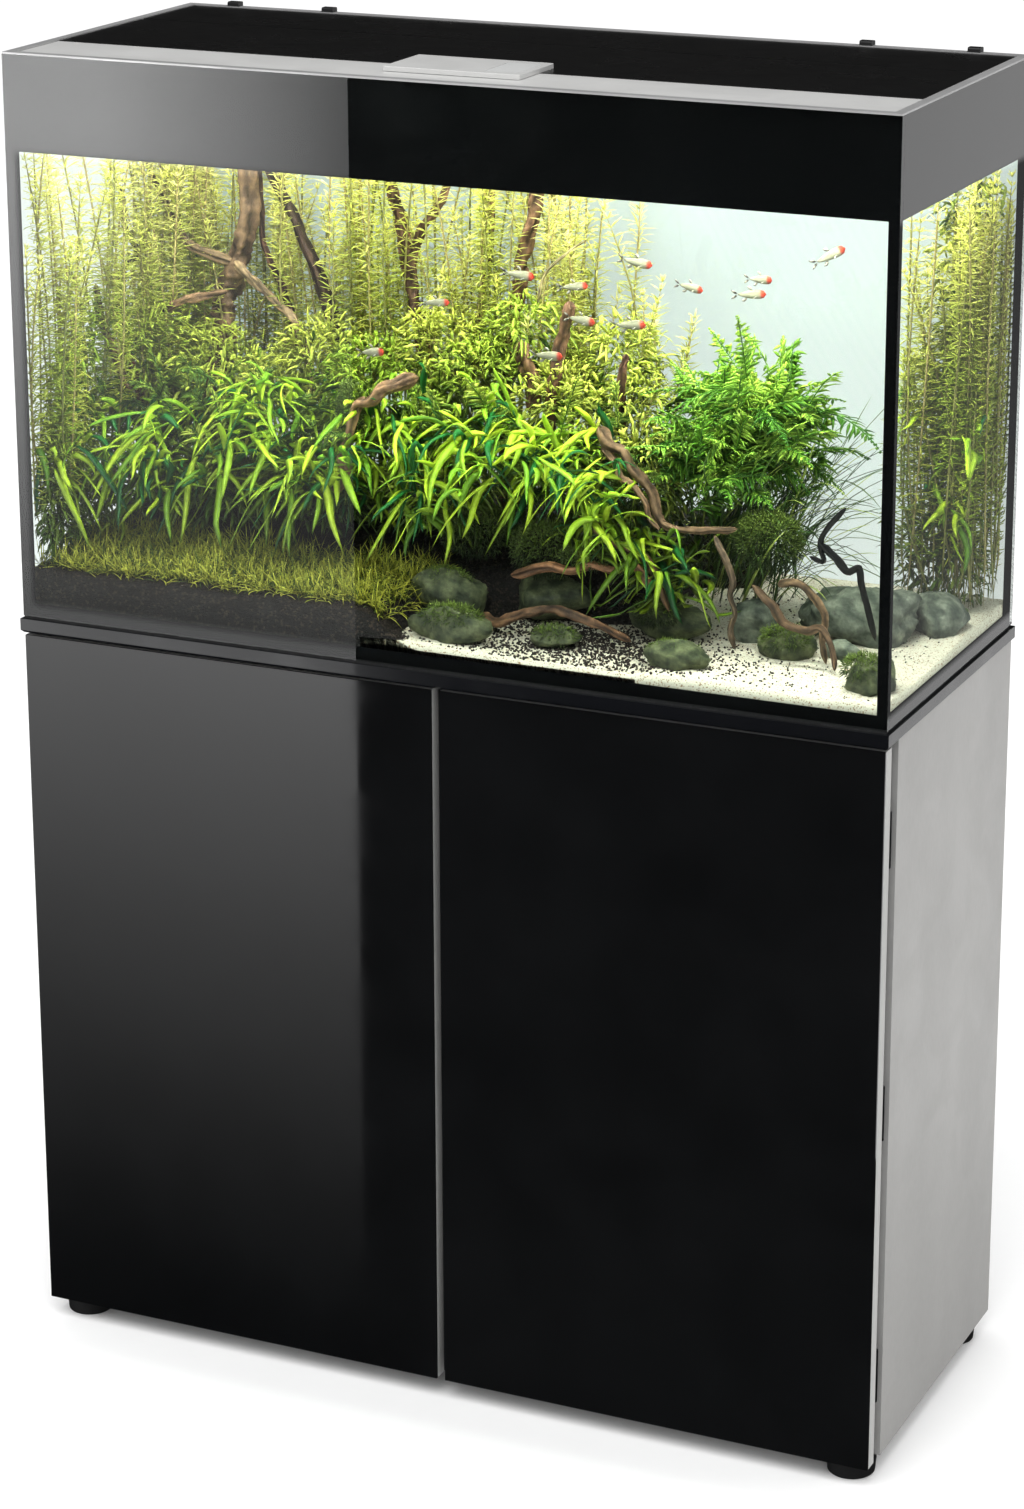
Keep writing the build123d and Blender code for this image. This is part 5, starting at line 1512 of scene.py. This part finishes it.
class AQUARIUM_OT_stage(bpy.types.Operator):
    """Sets up the camera, the pale floor, the studio light and the tank's own light"""

    bl_idname = "aquarium.stage"
    bl_label = "Set the Stage"

    def execute(self, context):
        look = context.scene.aquarium_stage
        self.camera(context.scene)
        self.surroundings(context.scene)
        floor = board_finish("Pale Floor", look.floor, 0.6, 0.7, 0.01, 40.0, EVEN, 0.02)
        shader = next(n for n in floor.node_tree.nodes if n.type == "BSDF_PRINCIPLED")
        shader.inputs["Specular IOR Level"].default_value = 0
        flat_card("floor", [(-14, -14, -0.0005), (14, -14, -0.0005), (14, 14, -0.0005), (-14, 14, -0.0005)], floor,
                  camera=True, diffuse=True, transmission=True, shadow=True)
        front = glow_finish("Front Softbox", -1.6, -0.1, 0.0, 1.95, 2.0, (-1.52, 0.5, -0.1, 0.95, 5.2),
                            ((1, 0, -2.216), (0, 1, -0.107), (0, -1, -0.787)), 0.22)
        flat_card("front_softbox", [(-4.2, -3.0, -1.7), (-1.51, -3.0, -1.7), (-1.51, -3.0, 1.3), (-4.2, -3.0, 1.3)],
                  front, glossy=True)
        side = glow_finish("Side Softbox", -2.5, 1.6, 0.95, 0.85, 1.0, None,
                           ((1.02, 1, 1.375), (-0.606, -1, -1.67)), 0.18)
        flat_card("side_softbox", [(0.4, 6.0, -2.6), (5.5, 6.0, -2.6), (5.5, 6.0, 1.8), (0.4, 6.0, 1.8)], side,
                  glossy=True)
        soft_light("key_light", (0.2, -2.2, 4.2), (0, 0, 0.7), (3.2, 3.2), look.key_light)
        soft_light("side_fill", (2.6, 0.6, 0.1), (0.5, 0, 0.15), (2.0, 0.6), 24.0, COOL_WARM_LIGHT, False)
        bar = BOXES["light_bar"]
        middle = float(bar[0][1] + bar[1][1]) / 2
        power = look.tank_light
        soft_light("tank_light", (0, middle, LAMP_HEIGHT), (0, middle + 0.08, 1.0), (0.9, 0.05), power, WARM_LIGHT,
                   False)
        soft_light("open_side_light", (0.36, middle, LAMP_HEIGHT), (0.34, middle, 0.9), (0.24, 0.05), power * 0.3,
                   SOFT_WARM_LIGHT, False)
        soft_light("tank_fill", (0, 0.1, 1.43), (0, 0.06, 1.0), (0.9, 0.08), power * 0.45, SOFT_WARM_LIGHT, False)
        return {"FINISHED"}

    def camera(self, scene):
        """The camera, from its place and its yaw, pitch and roll."""
        data = bpy.data.cameras.new("camera")
        data.sensor_width = 36.0
        data.lens = CAMERA_LENS
        data.shift_y = CAMERA_SHIFT
        data.clip_start, data.clip_end = 0.05, 60.0
        obj = bpy.data.objects.new("camera", data)
        yaw, pitch, roll = CAMERA_TURN
        ahead = np.array([-math.sin(yaw) * math.cos(pitch), math.cos(yaw) * math.cos(pitch), math.sin(pitch)])
        right = np.array([math.cos(yaw), math.sin(yaw), 0.0])
        up = np.cross(right, ahead)
        across = math.cos(roll) * right + math.sin(roll) * up
        stand(obj, across, math.cos(roll) * up - math.sin(roll) * right, -ahead, CAMERA_PLACE)
        scene.camera = obj

    def surroundings(self, scene):
        """A white room for everything but mirror-like reflections, which see a dark room and the softboxes."""
        scene.view_settings.view_transform = "Standard"
        world = bpy.data.worlds.new("studio")
        world.use_nodes = True
        scene.world = world
        tree = world.node_tree
        tree.nodes.clear()
        path = place(tree, "ShaderNodeLightPath").outputs
        bright, dim = (
            place(tree, "ShaderNodeBackground", {"Color": (1, 1, 1, 1), "Strength": strength}).outputs[0]
            for strength in ROOM_LIGHT)
        mirror = maths(tree, "MULTIPLY", path["Is Glossy Ray"],
                       maths(tree, "SUBTRACT", 1.0, path["Is Transmission Ray"]))
        both = place(tree, "ShaderNodeMixShader", {0: mirror, 1: bright, 2: dim})
        place(tree, "ShaderNodeOutputWorld", {"Surface": both.outputs[0]})


# ---------------------------------------------------------------- panel and run


STEPS = (
    AQUARIUM_OT_stage,
    AQUARIUM_OT_cabinet_finish,
    AQUARIUM_OT_tank_finish,
    AQUARIUM_OT_cover_finish,
    AQUARIUM_OT_ground,
    AQUARIUM_OT_stones,
    AQUARIUM_OT_driftwood,
    AQUARIUM_OT_stem_plants,
    AQUARIUM_OT_strap_plants,
    AQUARIUM_OT_fern_bush,
    AQUARIUM_OT_hairgrass,
    AQUARIUM_OT_fish,
    AQUARIUM_OT_water,
)


class AQUARIUM_PT_build(bpy.types.Panel):
    """Lists the steps and their settings in the 3D view's sidebar"""

    bl_idname = "AQUARIUM_PT_build"
    bl_label = "Planted Aquarium"
    bl_space_type = "VIEW_3D"
    bl_region_type = "UI"
    bl_category = "Aquarium"

    def draw(self, context):
        for attribute, kind in SETTINGS.items():
            box = self.layout.box()
            for setting in kind.__annotations__:
                box.prop(getattr(context.scene, attribute), setting)
        for step in STEPS:
            self.layout.operator(step.bl_idname)


def register():
    for attribute, kind in SETTINGS.items():
        bpy.utils.register_class(kind)
        setattr(bpy.types.Scene, attribute, bpy.props.PointerProperty(type=kind))
    for step in (*STEPS, AQUARIUM_PT_build):
        bpy.utils.register_class(step)


def unregister():
    for step in (AQUARIUM_PT_build, *reversed(STEPS)):
        bpy.utils.unregister_class(step)
    for attribute, kind in SETTINGS.items():
        delattr(bpy.types.Scene, attribute)
        bpy.utils.unregister_class(kind)


def main():
    """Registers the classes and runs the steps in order."""
    register()
    for step in STEPS:
        getattr(bpy.ops.aquarium, step.bl_idname.split(".")[1])()


if __name__ == "__main__":
    main()
